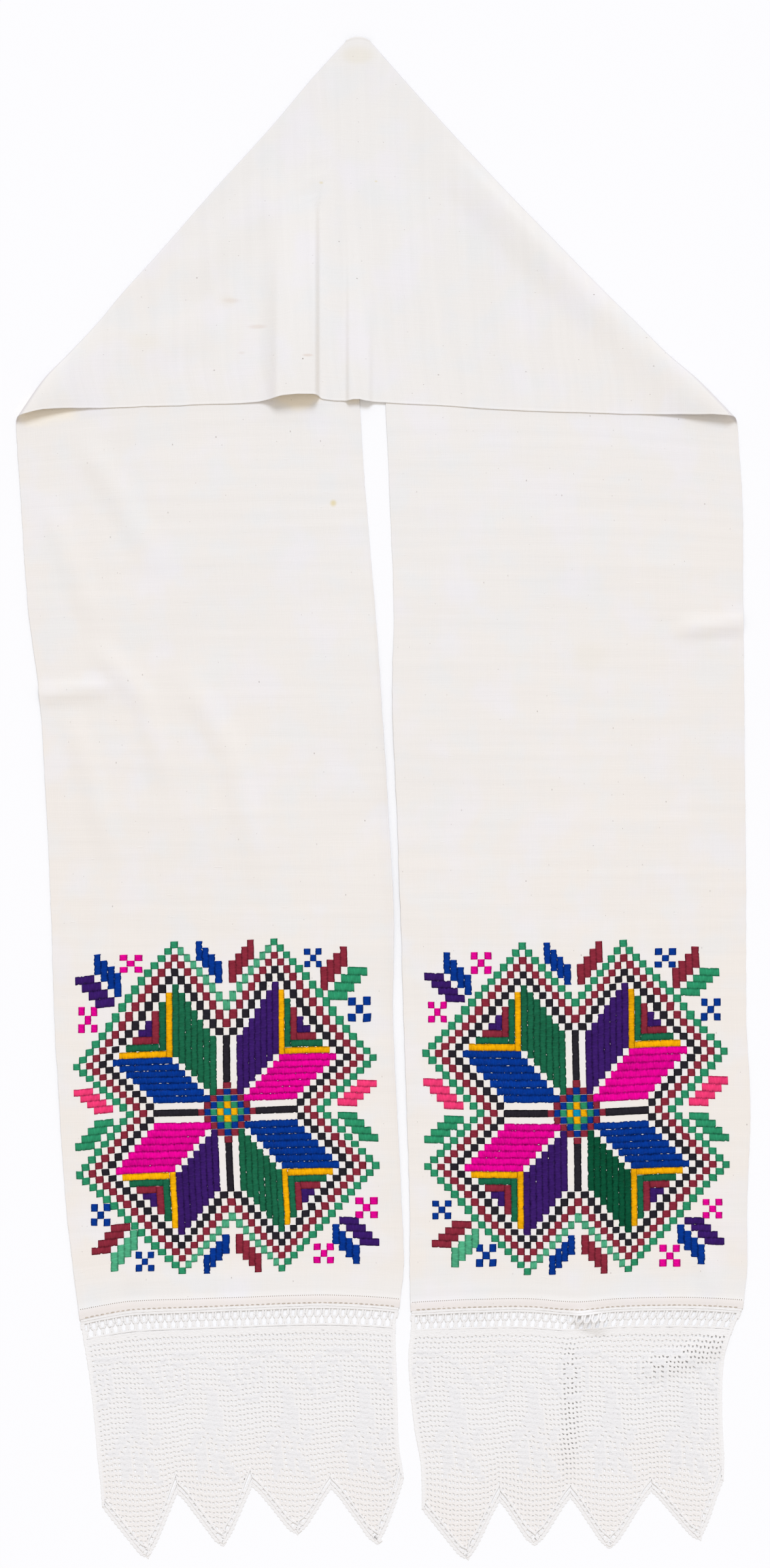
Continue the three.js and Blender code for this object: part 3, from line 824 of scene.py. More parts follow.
def lace_material(name, fresh, aged, close):
    """Crochet cotton: twisted thread, warmer towards the points."""
    graph = Graph(bpy.data.materials.new(name))
    place = graph.object_place()
    _, y, _ = graph.split(place)
    twist = graph.streaks(place, (900, 500, 900), turn=0.5)
    stitches = graph.streaks(place, (420, 900, 400), 1.0)
    clouds = graph.noise(place, 16.0, 3.0)
    hem_y, tip_y = (placed(0, end, 0).y for end in LACE_REACH)
    down = (hem_y - y) / (hem_y - tip_y)
    colour = graph.blend(down.between(0.35, 1.0) * 0.8 + (clouds - 0.5) * 1.1, rgba(fresh), rgba(aged))
    filled = graph.value("ShaderNodeAttribute", {"attribute_name": "close"}, {}, "Fac")
    colour = graph.blend(filled * 0.8, colour, rgba(close))
    colour = graph.toned(colour, varied(1, (twist, 0.05), (stitches, 0.05)))
    return graph.finish(colour, 0.9, twist * 0.6 + stitches, 0.0003, Specular_IOR_Level=0.25)


# ---------------- the cloth

EDGE_ROWS = [0.45, 1.4, 3.5]  # from a selvedge
ACROSS_STEPS = 60
LEG_STEPS = 118
HIDDEN_STEPS = 14
ROLL_STEPS = 8
OUTER_STEPS = 22
PLEAT_STEPS = 2  # between two stations of the pleats
OPEN_LEG = 60.0  # how far past a corner the columns stop fanning out
HEM_RISE = 0.4  # half the step up to the thicker hem
END_BEND = 0.5  # the last narrow column at a strip's end
OUTER_SHARE = (0.1, 0.2)  # of the triangle's columns, on each side of the pleats' columns
SELVEDGE_WAVE = 0.45
SELVEDGE_WAVE_REACH = 12.0


def cloth_columns(across):
    """Distances along the strip from left to right, for one row of the mesh."""
    fold_along = FOLD_SUM - across
    reach = math.sqrt(2) * roll_half(across)
    edge = fold_along - reach
    hem_line = STRIP_END - HEM_DEPTH
    open_from = FOLD_SUM + OPEN_LEG
    leg = spaced(fold_along + reach, open_from, HIDDEN_STEPS)[1:-1]
    leg += spaced(open_from, hem_line - HEM_RISE, LEG_STEPS)
    leg += [hem_line + HEM_RISE, mix(hem_line, STRIP_END, 0.5), STRIP_END - END_BEND, STRIP_END]
    roll = [fold_along + (2 * step / ROLL_STEPS - 1) * reach for step in range(ROLL_STEPS + 1)]

    # The columns in the middle stay on the pleats, however narrow the triangle is at this row.
    outer_share = mix(*OUTER_SHARE, ease((across / CLOTH_WIDTH - 0.5) * 2))
    limit = edge * (1 - 2 * outer_share)
    left_x, right_x = fold_x(-1, across), fold_x(1, across)
    upright = [(2 * (row[0] - left_x) / (right_x - left_x) - 1) * fold_along for row in PLEATS]
    first, last = max(upright[0], -limit), min(upright[-1], limit)
    spread = (last - first) / (upright[-1] - upright[0])
    stations = [first + (along - upright[0]) * spread for along in upright]
    pleats = [along for a, b in zip(stations, stations[1:]) for along in spaced(a, b, PLEAT_STEPS)[:-1]]
    pleats.append(stations[-1])
    left_outer = spaced(-edge, first, OUTER_STEPS)[1:-1]
    right_outer = spaced(last, edge, OUTER_STEPS)[1:-1]
    mirrored_leg = [-along for along in reversed(leg)]
    mirrored_roll = [-along for along in reversed(roll)]
    return mirrored_leg + mirrored_roll + left_outer + pleats + right_outer + roll + leg


def build_cloth(look):
    """One grid over the flat strip, each point of which is laid where the folds put it."""
    edge = [0, *EDGE_ROWS]
    inside = spaced(EDGE_ROWS[-1], CLOTH_WIDTH - EDGE_ROWS[-1], ACROSS_STEPS)[1:-1]
    rows = edge + inside + [CLOTH_WIDTH - across for across in reversed(edge)]
    grid = [cloth_columns(across) for across in rows]
    columns, last_row = len(grid[0]), len(rows) - 1
    thickness, hem_thickness = look.thickness / MM, look.hem_thickness / MM
    bm = bmesh.new()
    bmesh.ops.create_grid(bm, x_segments=columns - 1, y_segments=last_row, size=1.0)
    uv = bm.loops.layers.uv.new("UVMap")
    doubled = bm.verts.layers.deform.new()
    flat = {}
    for vert in bm.verts:
        column = round((vert.co.x + 1) / 2 * (columns - 1))
        row = round((vert.co.y + 1) / 2 * last_row)
        along, across = grid[row][column], rows[row]
        flat[vert] = (along * MM, across * MM)
        nearness = max(0.0, 1 - min(across, CLOTH_WIDTH - across) / SELVEDGE_WAVE_REACH)
        waves = wander(along / 9, across, 3.5) + 0.7 * wander(along / 37, across, 9.5)
        x, y, z = cloth_point(along, across + SELVEDGE_WAVE * nearness * waves)
        in_hem = abs(along) > STRIP_END - HEM_DEPTH
        vert.co = (x, y, z + (hem_thickness if in_hem else thickness) / 2)
        vert[doubled][0] = 1.0 if in_hem else 0.0
    for face in bm.faces:
        for loop in face.loops:
            loop[uv].uv = flat[loop.vert]
    low = Vector(min(v.co[i] for v in bm.verts) for i in range(3))
    high = Vector(max(v.co[i] for v in bm.verts) for i in range(3))
    cad_low, cad_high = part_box("cloth")
    for i in (0, 1):
        ORIGIN[i] = (cad_low[i] + cad_high[i]) / 2 - (low[i] + high[i]) / 2 * MM
    for vert in bm.verts:
        vert.co = placed(*vert.co)
    mesh = mesh_from(bm, "cloth_sheet")
    piece = add_piece("cloth_sheet", mesh, cloth_material(look), "cloth")
    piece.vertex_groups.new(name="hem")
    solid = piece.modifiers.new("Thickness", "SOLIDIFY")
    solid.thickness = look.hem_thickness
    solid.offset = 0.0
    solid.vertex_group = "hem"
    solid.thickness_vertex_group = look.thickness / look.hem_thickness
    return piece


# ---------------- the embroidery


def square(reach):
    """Every cell up to so far from the middle, column by column."""
    one_way = range(-reach, reach + 1)
    return [(column, row) for column in one_way for row in one_way]


def chart_blocks():
    """Every block of satin stitch: colour, first and last column and row, and whether its
    strands run across it from left to right."""
    blocks = []

    def cell(colour, column, row):
        blocks.append((colour, column, row, column, row, True))

    def upright(colour, column, *ends):
        low, high = sorted(ends)
        blocks.append((colour, column, low, column, high, True))

    def level(colour, row, *ends):
        low, high = sorted(ends)
        blocks.append((colour, low, row, high, row, False))

    for column, row in square(len(DIAMOND) - 1):
        if abs(column) + abs(row) < len(DIAMOND):
            cell(DIAMOND[abs(column) + abs(row)], column, row)

    first, last = ARM_BAR
    for sign in (-1, 1):
        upright("black", 0, sign * first, sign * last)
        level("black", 0, sign * first, sign * last)

    for column, row in square(BORDER_REACH):
        least, most = sorted((abs(column), abs(row)))
        colour = BORDERS.get(max(most - least, most + least - BORDER_TURN))
        if colour and (most, least) != (last, 0):
            cell(colour, column, row)

    def fan(colours, across, up, span, length):
        """Bars side by side, each a cell farther out: a petal or a leaf, and its mirror image."""
        for k in range(span[0], span[1] + 1):
            upright(colours[0], across * k, up * (k + 1), up * (k + length))
            level(colours[1], up * k, across * (k + 1), across * (k + length))

    for across in (-1, 1):
        for up in (-1, 1):
            fan(PETAL_COLOURS[across * up], across, up, PETAL, PETAL_LENGTH)
            for colour, start, end in CORNER_BARS:
                upright(colour, across * start, up * start, up * end)
                level(colour, up * start, across * (start + 1), across * end)
            fan(CORNER_LEAVES[across, up], across, up, LEAF, LEAF_LENGTH)

    start, count = VALLEY_LEAF
    for k in range(1, count + 1):
        for sign in (-1, 1):
            ends = sign * (start + k), sign * (start + k + LEAF_LENGTH - 1)
            upright("blue", -k, *ends)
            upright("maroon", k, *ends)
            level("rose", k, *ends)
            level("light_green", -k, *ends)
    return blocks


# how far a block reaches past its cells, in columns and in rows, and how uneven it is
SIDEWAYS_FIT = (0.1, 0.0, 0.012)
UPRIGHT_FIT = (0.0, 0.09, 0.012)
BAR_FIT = (0.04, 0.04, 0.02)
CHAIN_FIT = (0.13, 0.03, 0.03)
TURNED_FIT = (0.02, 0.14, 0.03)  # cells of the outer chain whose strands run upwards
CROSS_HALF = (0.56, 0.53)
FEW_LOOSE = 0.04  # the share of strands that draw back, where it isn't given next
LOOSE_STRANDS = {"blue": 0.4, "pink": 0.18, "purple": 0.14, "dark_green": 0.24, "deep_green": 0.22}
ROUNDED = [(0.0, 0.0), (0.08, 0.74), (0.5, 1.0), (0.92, 0.74), (1.0, 0.0)]
STEPS_PER_CELL = 4
END_RISE = 0.5  # the length over which a block rises at its two ends
END_HEIGHT = 0.92  # as a share of its height in the middle
BLOCK_SINK = 0.12  # how far its rim lies under the cloth's surface
NOTCH = 0.8  # how far a loose pair of strands draws back, so that the cloth shows
RAGGED = 0.14  # how uneven a block's long sides are


def satin_block(bm, layers, chance, at, length_cells, colour, height, base, loose):
    """One rounded block. at(s, t) is its place in millimetres, t along it and s along the
    strands; loose is the share of strands that draw back and let the cloth show."""
    uv, floss = layers
    corner = at(0, 0)
    run, length = math.dist(corner, at(1, 0)), math.dist(corner, at(0, 1))
    steps = max(2, round(length_cells * STEPS_PER_CELL))
    end = END_RISE / length
    heights = [END_HEIGHT, *[1.0] * (steps - 1), END_HEIGHT]
    stations = [(0.0, 0.0), *zip(spaced(end, 1 - end, steps), heights), (1.0, 0.0)]
    last_s, last_t = len(ROUNDED) - 1, len(stations) - 1
    made = bmesh.ops.create_grid(bm, x_segments=last_s, y_segments=last_t, size=1.0)["verts"]

    def drawn():
        notch = NOTCH * chance.uniform(0.6, 1.0) if chance.random() < loose else 0.0
        return notch + chance.uniform(-RAGGED, RAGGED)

    drawn_back = [[drawn() for _ in stations] for _ in range(2)]
    rise = height * chance.uniform(0.9, 1.1) + BLOCK_SINK
    for vert in made:
        i = round((vert.co.x + 1) / 2 * last_s)
        j = round((vert.co.y + 1) / 2 * last_t)
        s, high_s = ROUNDED[i]
        t, high_t = stations[j]
        if i < last_s / 2:
            s += drawn_back[0][j] / run
        elif i > last_s / 2:
            s -= drawn_back[1][j] / run
        x, y = at(s, t)
        vert.co = placed(x, y, base(x, y) - BLOCK_SINK + rise * min(high_s, high_t))
        vert[floss] = (*colour, high_s)
        spot = (s * run * MM, t * length * MM)
        for loop in vert.link_loops:
            loop[uv].uv = spot
    # The edges keep their order, so that the mesh is the same each time.
    rim = dict.fromkeys(edge for vert in made for edge in vert.link_edges if edge.is_boundary)
    bmesh.ops.edgeloop_fill(bm, edges=list(rim))


def build_panel(side, look, cloth_look, material):
    """One star with its border, laid on the cloth of its leg."""
    panel = PANELS[side]
    middle_x, middle_y = panel["middle"]
    chance = random.Random(11 + side)
    height = look.height / MM
    bm = bmesh.new()
    uv = bm.loops.layers.uv.new("UVMap")
    floss = bm.verts.layers.float_color.new("floss")
    top = cloth_look.thickness / MM

    def base(x, y):
        return ground_height(x, y) + top

    columns = list(zip(COLUMN_STATIONS, panel["columns"]))
    rows = list(zip(ROW_STATIONS, panel["rows"]))

    def place(column, row):
        x = look_up(columns, 1, column) + look_up(panel["lean"], 1, row)
        y = look_up(rows, 1, row) + look_up(panel["tilt"], 1, column)
        return middle_x + x, middle_y + y

    def add(colour, low_c, low_r, high_c, high_r, sideways, where, cells, jitter, loose):
        """Works one block; where it is sideways, its strands run from left to right."""
        wide, tall = high_c - low_c, high_r - low_r
        push = [chance.gauss(0, jitter) for _ in range(4)]
        turn = chance.gauss(0, jitter)

        def at(s, t):
            across, up = (s, t) if sideways else (1 - t, s)
            column = low_c + mix(push[0], wide + push[1], across) + turn * (up - 0.5)
            row = low_r + mix(push[2], tall + push[3], up) + turn * (across - 0.5)
            return where(column, row)

        tint = chance.gauss(1, 0.04)
        shade = [min(1.0, max(0.0, c * tint)) for c in getattr(look, colour)]
        satin_block(bm, (uv, floss), chance, at, cells, shade, height, base, loose)

    for colour, c0, r0, c1, r1, sideways in chart_blocks():
        cells = max(c1 - c0, r1 - r0) + 1
        single = cells == 1
        quadrant = (-1 if c0 + c1 < 0 else 1, -1 if r0 + r1 < 0 else 1)
        corner = min(abs(c0), abs(r0), abs(c1), abs(r1)) >= LEAF[0]
        shift = panel["leaf_shift"][quadrant] if corner and not single else (0, 0)

        def where(column, row, shift=shift):
            x, y = place(column, row)
            return x + shift[0], y + shift[1]

        # Neighbours of one petal or leaf meet over the cloth; cells of the chains lie apart.
        grow_c, grow_r, jitter = SIDEWAYS_FIT if sideways else UPRIGHT_FIT
        loose = LOOSE_STRANDS.get(colour, FEW_LOOSE)
        if single and abs(c0) + abs(r0) >= len(DIAMOND):
            grow_c, grow_r, jitter = CHAIN_FIT
            loose = 0.0
            inner_slope = abs(c0) < 8 and abs(r0) > 8
            # Painted sheen: these light green cells turn their strands upwards and take the lighter copy of
            # the green.
            if colour == "light_green" and inner_slope and (side < 0 or r0 < 0):
                colour, sideways = "pale_green", False
                grow_c, grow_r, jitter = TURNED_FIT
        elif colour in ("black", "yellow"):
            grow_c, grow_r, jitter = BAR_FIT
        elif colour == "dark_green" and side > 0 and c0 > 0 and r0 < 0 and c0 <= PETAL[1]:
            colour = "deep_green"
        elif colour == "light_green" and corner and r0 < 0:
            colour = "pale_green"
        spread = (c0 - 0.5 - grow_c, r0 - 0.5 - grow_r, c1 + 0.5 + grow_c, r1 + 0.5 + grow_r)
        add(colour, *spread, sideways, where, cells, jitter, loose)

    for cross_x, cross_y, step_x, step_y, colour in panel["crosses"]:

        def where(column, row, cx=cross_x, cy=cross_y, sx=step_x, sy=step_y):
            return middle_x + cx + column * sx, middle_y + cy + row * sy

        for column, row in ((0, 0), (-1, -1), (-1, 1), (1, -1), (1, 1)):
            wide, tall = CROSS_HALF
            spread = (column - wide, row - tall, column + wide, row + tall)
            add(colour, *spread, True, where, 1, CHAIN_FIT[2], 0.0)

    bmesh.ops.recalc_face_normals(bm, faces=bm.faces)
    name = "embroidery_" + SIDE_NAMES[side]
    return add_piece(name, mesh_from(bm, name), material)


# ---------------- threads as tubes

# the outline of a thread cut across
SECTION = [(-1, 0), (-0.8, 1), (0.8, 1), (1, 0), (0.8, -1), (-0.8, -1)]


def new_curve(name, paths, closed):
    """An object of straight-sided splines, one for each path."""
    curve = bpy.data.curves.new(name, "CURVE")
    curve.dimensions = "3D"
    for path in paths:
        spline = curve.splines.new("POLY")
        spline.points.add(len(path) - 1)
        spline.use_cyclic_u = closed
        for point, (x, y, radius) in zip(spline.points, path):
            point.co = (x, y, 0, 1)
            point.radius = radius
    holder = bpy.data.objects.new(name, curve)
    bpy.context.scene.collection.objects.link(holder)
    return holder


def tubes(paths, thickness, ground, close=0.0):
    """A bmesh of closed threads, flat on top and laid on a surface. Each path is a list of
    (x, y, half width) in millimetres, and ground(x, y) gives the height under the thread.
    close marks the threads that fill a mesh."""
    section = new_curve("section", [[(x, y, 1) for x, y in SECTION]], True)
    holder = new_curve("paths", paths, False)
    holder.data.twist_mode = "Z_UP"
    holder.data.bevel_mode = "OBJECT"
    holder.data.bevel_object = section
    holder.data.use_fill_caps = True
    graph = bpy.context.evaluated_depsgraph_get()
    mesh = bpy.data.meshes.new_from_object(holder.evaluated_get(graph))
    for used in (holder, section):
        curve = used.data
        bpy.data.objects.remove(used)
        bpy.data.curves.remove(curve)
    bm = bmesh.new()
    bm.from_mesh(mesh)
    bpy.data.meshes.remove(mesh)
    bmesh.ops.remove_doubles(bm, verts=bm.verts, dist=0.002)
    mark = bm.verts.layers.float.new("close")
    for vert in bm.verts:
        x, y, z = vert.co
        side = 0.0 if abs(z) < 0.01 else math.copysign(thickness / 2, z)
        vert.co = placed(x, y, ground(x, y) + thickness / 2 + side)
        vert[mark] = close
    bmesh.ops.recalc_face_normals(bm, faces=bm.faces)
    return bm


def joined(parts, name):
    """Several bmeshes as one mesh."""
    whole = bmesh.new()
    whole.verts.layers.float.new("close")
    for part in parts:
        step = mesh_from(part, "part")
        whole.from_mesh(step)
        bpy.data.meshes.remove(step)
    return mesh_from(whole, name, False)


# ---------------- the lace

HEM_WIDTH = 310.0  # about how wide the lace is along the hem
POINTS_WIDTH = 300.0  # and at its points

# The heading. Its strands cross from knot to knot between close bands.
HEM_BANDS = [(0.95, 1.35), (3.4, 1.25)]  # depth and half height of the threads along the hem
BAND = 4.7  # the lower edge of the close band by the hem
UPPER_KNOT = 9.4
LOWER_KNOT = 12.6
NET_END = 18.4
NET_BAND = NET_END + 0.9
HEADING_PITCH = 8.3
KNOT_HALF = 0.14  # half a knot's width, as a share of the pitch
STRAND_SINK = 0.8  # how far a strand runs back into what it starts from

# The mesh.
MESHES_ACROSS = 80
FIRST_ROW_DEPTH = 28.2
ROW_PITCH = 4.93
RIB_STEPS = [(0.15, 0.7), (0.6, 0.1), (1.0, -0.55), (1.72, -0.55 * 0.8)]  # share of a pair, rise
POST_GAP = 0.8  # from a rib's middle to the end of a post
POST_LEAN = 0.35
CLOSE_POSTS = (0.03, 0.36, 0.69)  # where the three posts of a filled mesh stand
CLOSE_RADIUS = 0.64
CLOSE_GAP = -0.3  # they run on past the ribs' middles
SPAN_STEPS = 640  # places tried along a row for where the mesh starts and ends
SHORTEST_SPAN = 0.012  # of the width, under which a stretch is left out

# How far the rows sway from stem to stem, sag in a point, and wander. A pair below is the depth
# where something starts and the length over which it does.
STEM_MIDDLE = 9.5  # in meshes of the chart
WAVE = 1.7
WAVES_GROW, WAVES_FADE = (30, 60), (150, 35)
SAG = -9
SAG_GROWS = (125, 65)
UNEVEN = 1.0
SWAY_FADE = 12.0  # how far above the pointed edge the rows start to lie level

# The pointed edge and its border, whose lines are measured in from it.
TIP_BLUNT = 5.2
NOTCH_BLUNT = -2.2
BLUNT_REACH = 5.2
BORDER_STEP = 2.5
FRILL, FRILL_RADII = 1.75, (1.15, 2.25)
BORDER_RIM, RIM_RADIUS = 4.1, 1.05
INNER_RIM, INNER_RADIUS = 7.4, 0.95
TIE_LAP = 0.3  # how far a tie runs into each rim
SIDE_RIM = 1.8
SIDE_RADII = (1.45, 1.7)
SIDE_INSET = 2.7  # from the lace's sides to the mesh
EDGE_SHARE = 0.004  # the border's least distance from the sides, as a share of the width
CORNER_SHARE = 0.009  # no tie stands nearer than this to a tip or a notch
CROWDED = 1.2  # spots of one line don't lie nearer than this


def edge_depth(side, share):
    """The pointed edge, with its tips and its notches a little blunt."""
    points = LACE_POINTS[side]
    depth = straight(points, 1, share)
    for i, (at, _) in enumerate(points[1:-1]):
        blunt = TIP_BLUNT if i % 2 == 0 else NOTCH_BLUNT
        depth -= blunt * math.exp(-(((share - at) * HEM_WIDTH / BLUNT_REACH) ** 2))
    return depth


def edge_slope(side, share):
    """How steeply the pointed edge runs down to the right."""
    points = LACE_POINTS[side]
    i = 0
    while i < len(points) - 2 and share > points[i + 1][0]:
        i += 1
    (a, deep_a), (b, deep_b) = points[i], points[i + 1]
    return (deep_b - deep_a) / ((b - a) * POINTS_WIDTH)


def inset_depth(side, share, inset):
    """The depth of a line that runs so far inside the pointed edge."""
    return edge_depth(side, share) - inset * math.hypot(1, edge_slope(side, share))


def row_sway(side, share, depth):
    """How far a row lies off its level: it waves from stem to stem and sags in each point."""

    def grown(start, length):
        return ease((depth - start) / length)

    phase = (share * MESHES_ACROSS - LACE_FIRST_COLUMN - STEM_MIDDLE) / LACE_REPEAT
    waves = WAVE * math.sin(2 * math.pi * (phase - 0.5)) * grown(*WAVES_GROW) * (1 - grown(*WAVES_FADE))
    points = LACE_POINTS[side]
    sag = 0.0
    for left, tip, right in zip(points[0::2], points[1::2], points[2::2]):
        if left[0] <= share <= right[0]:
            half = (tip[0] - left[0]) if share < tip[0] else (right[0] - tip[0])
            sag = SAG * (1 - ((share - tip[0]) / half) ** 2) * grown(*SAG_GROWS)
    return waves + sag + UNEVEN * wander(share * 21, depth / 16, 4.5)


def swayed(side, share, depth):
    """The depth of a place in the mesh once its row has swayed."""
    return depth - row_sway(side, share, depth) * ease((edge_depth(side, share) - depth) / SWAY_FADE)


def lace_place(side, share, depth, sway=True):
    """A place in the lace: share runs from its left edge to its right one."""
    leg_share = 1 - share if side < 0 else share
    _, hem_y = leg_place(side, leg_share, -LEG_LENGTH)
    lift = look_up(HEM_LIFT[side], 1, leg_share)
    hem_y -= lift * ease(depth / LACE_LIFT_REACH)
    x = mix(look_up(LACE_SIDES[side], 1, depth), look_up(LACE_SIDES[side], 2, depth), share)
    if sway:
        depth = swayed(side, share, depth)
    return x, hem_y - PIECE_GAP - depth


def spans_at(side, depth, inset):
    """The stretches of a row that lie inside the pointed edge."""
    end = SIDE_INSET / HEM_WIDTH
    spans, start = [], None
    for share in [*spaced(end, 1 - end, SPAN_STEPS), None]:
        inside = share is not None and inset_depth(side, share, inset) > swayed(side, share, depth)
        if inside:
            start = share if start is None else start
            last = share
        elif start is not None:
            spans.append((start, last))
            start = None
    return [(a, b) for a, b in spans if b - a > SHORTEST_SPAN]


def lace_width(side):
    """Along the hem."""
    return LACE_SIDES[side][0][2] - LACE_SIDES[side][0][1]


def is_filled(column, row):
    """Whether the chart closes this mesh."""
    return (column - LACE_FIRST_COLUMN) % LACE_REPEAT in FILLED_MESHES.get(row, ())


def heading_paths(side, chance):
    """The open net next to the hem, between two close bands."""
    count = round(lace_width(side) / HEADING_PITCH)

    def spot(k, depth, radius):
        return (*lace_place(side, min(1, max(0, k / count)), depth, False), radius)

    def band(depth, radius):
        return [spot(k / 2, depth, radius * chance.uniform(0.86, 1.12)) for k in range(count * 2 + 1)]

    bands = [band(*line) for line in (*HEM_BANDS, (NET_BAND, 1.0))]
    first_rib = FIRST_ROW_DEPTH - ROW_PITCH / 2
    bands += [band(mix(NET_BAND, first_rib, part), 1.3) for part in (0.36, 0.68)]
    strands = {-1: [], 1: []}
    bend = mix(UPPER_KNOT, LOWER_KNOT, 0.55)
    for k in range(count + 1):
        lean = chance.uniform(-0.05, 0.05)
        for way in (-1, 1):
            strand = chance.uniform(0.92, 1.15)
            knot = k + lean + way * KNOT_HALF
            runs = [[(k + way * 0.17, BAND - STRAND_SINK), (knot, UPPER_KNOT)]]
            if 0 <= k + way * 0.5 <= count:
                low = k + way * (0.5 - 0.06), LOWER_KNOT
                runs.append([(knot, UPPER_KNOT - STRAND_SINK), (k + way * 0.24, bend), low])
                runs.append([(low[0], LOWER_KNOT - 0.5), (k + way * (0.5 - 0.15), NET_END + 0.4)])
            strands[way] += [[spot(*point, strand) for point in run] for run in runs]
    return bands, strands[-1], strands[1]


def rib_paths(side, depth, radius, chance):
    """A rib from one end of the row to the other, in as many stretches as the points leave."""
    paths = []
    for start, end in spans_at(side, depth, INNER_RIM + 0.2):
        path = []
        for pair in range(MESHES_ACROSS // 2 + 1):
            for step, lift in RIB_STEPS:
                share = (2 * pair + step) / MESHES_ACROSS
                if start < share < end:
                    x, y = lace_place(side, share, depth)
                    path.append((x, y + lift, radius * chance.uniform(0.95, 1.05)))
        if len(path) > 1:
            first, last = lace_place(side, start, depth), lace_place(side, end, depth)
            paths.append([(*first, radius * 0.9), *path, (*last, radius * 0.9)])
    return paths


def filet_paths(side, look, chance):
    """Ribs between the rows of meshes, and posts from rib to rib."""
    rib, post = look.rib / MM, look.post / MM
    deepest = max(depth for _, depth in LACE_POINTS[side])
    row_count = int((deepest - FIRST_ROW_DEPTH) / ROW_PITCH) + 1
    rib_depths = [FIRST_ROW_DEPTH + (row - 0.5) * ROW_PITCH for row in range(row_count + 1)]
    ribs = [path for depth in rib_depths for path in rib_paths(side, depth, rib, chance)]
    posts, close_posts = [], ([], [])

    def add_post(group, share, row, gap, lean, radius):
        """gap is how far it stops short of the middles of the two ribs."""
        top, bottom = rib_depths[row - 1] + gap, rib_depths[row] - gap
        if not SIDE_INSET / HEM_WIDTH < share < 1 - SIDE_INSET / HEM_WIDTH:
            return
        if inset_depth(side, share, INNER_RIM) > swayed(side, share, bottom):
            x0, y0 = lace_place(side, share, top)
            x1, y1 = lace_place(side, share, bottom)
            group.append([(x0 - lean, y0, radius), (x1 + lean, y1, radius)])

    for row in range(1, row_count + 1):
        for column in range(MESHES_ACROSS):
            if is_filled(column, row):
                for part in CLOSE_POSTS:
                    radius = CLOSE_RADIUS * chance.uniform(0.92, 1.08)
                    share = (column + part) / MESHES_ACROSS
                    add_post(close_posts[row % 2], share, row, CLOSE_GAP, 0.0, radius)
            else:
                lean = POST_LEAN + chance.uniform(-0.15, 0.15)
                radius = post * mix(1.14, 0.94, row / row_count) * chance.uniform(0.9, 1.15)
                add_post(posts, column / MESHES_ACROSS, row, POST_GAP, lean, radius)
    return ribs, posts, *close_posts


def edging_paths(side, chance):
    """The border: a loose zigzag outside, then a row of eyelets between two rims."""
    points = LACE_POINTS[side]
    stations = []
    for (a, deep_a), (b, deep_b) in zip(points, points[1:]):
        x0, y0 = lace_place(side, a, deep_a, False)
        x1, y1 = lace_place(side, b, deep_b, False)
        steps = max(6, round(math.hypot(x1 - x0, y1 - y0) / BORDER_STEP))
        stations += spaced(a, b, steps)[:-1]
    stations.append(1.0)

    def spot(share, inset, radius):
        nearest = inset / (3 * POINTS_WIDTH)
        inner = min(1 - EDGE_SHARE - nearest, max(EDGE_SHARE + nearest, share))
        x, y = lace_place(side, inner, inset_depth(side, inner, inset), False)
        return x, y, radius * chance.uniform(0.9, 1.1)

    def line(inset, *radii):
        """Spots that crowd together at a corner are left out."""
        path = []
        for i, share in enumerate(stations):
            new = spot(share, inset, radii[i % len(radii)])
            if not path or math.dist(new[:2], path[-1][:2]) > CROWDED:
                path.append(new)
        return path

    frill = [line(FRILL, *FRILL_RADII)]
    rims = [line(BORDER_RIM, RIM_RADIUS)]
    inner_rims = [line(INNER_RIM, INNER_RADIUS)]
    ties = []
    for share in stations[2:-1:3]:
        if min(abs(share - corner) for corner, _ in points) < CORNER_SHARE:
            continue
        radius = chance.uniform(1.9, 2.3)
        slope = edge_slope(side, share)
        steep = math.hypot(1, slope)
        tie = []
        for inset in (BORDER_RIM - TIE_LAP, INNER_RIM + TIE_LAP):
            at = min(0.99, max(0.01, share + inset * slope / steep / POINTS_WIDTH))
            depth = edge_depth(side, share) - inset / steep
            tie.append((*lace_place(side, at, depth, False), radius))
        ties.append(tie)

    width = lace_width(side)
    for edge, end in ((0, points[0][1]), (1, points[-1][1])):
        rim = []
        for i, depth in enumerate(spaced(1.0, end - 0.4, round(end / BORDER_STEP))):
            radius = SIDE_RADII[i % 2] * chance.uniform(0.9, 1.1)
            rim.append((*lace_place(side, abs(edge - SIDE_RIM / width), depth, False), radius))
        rims.append(rim)
    return frill, rims, inner_rims, ties


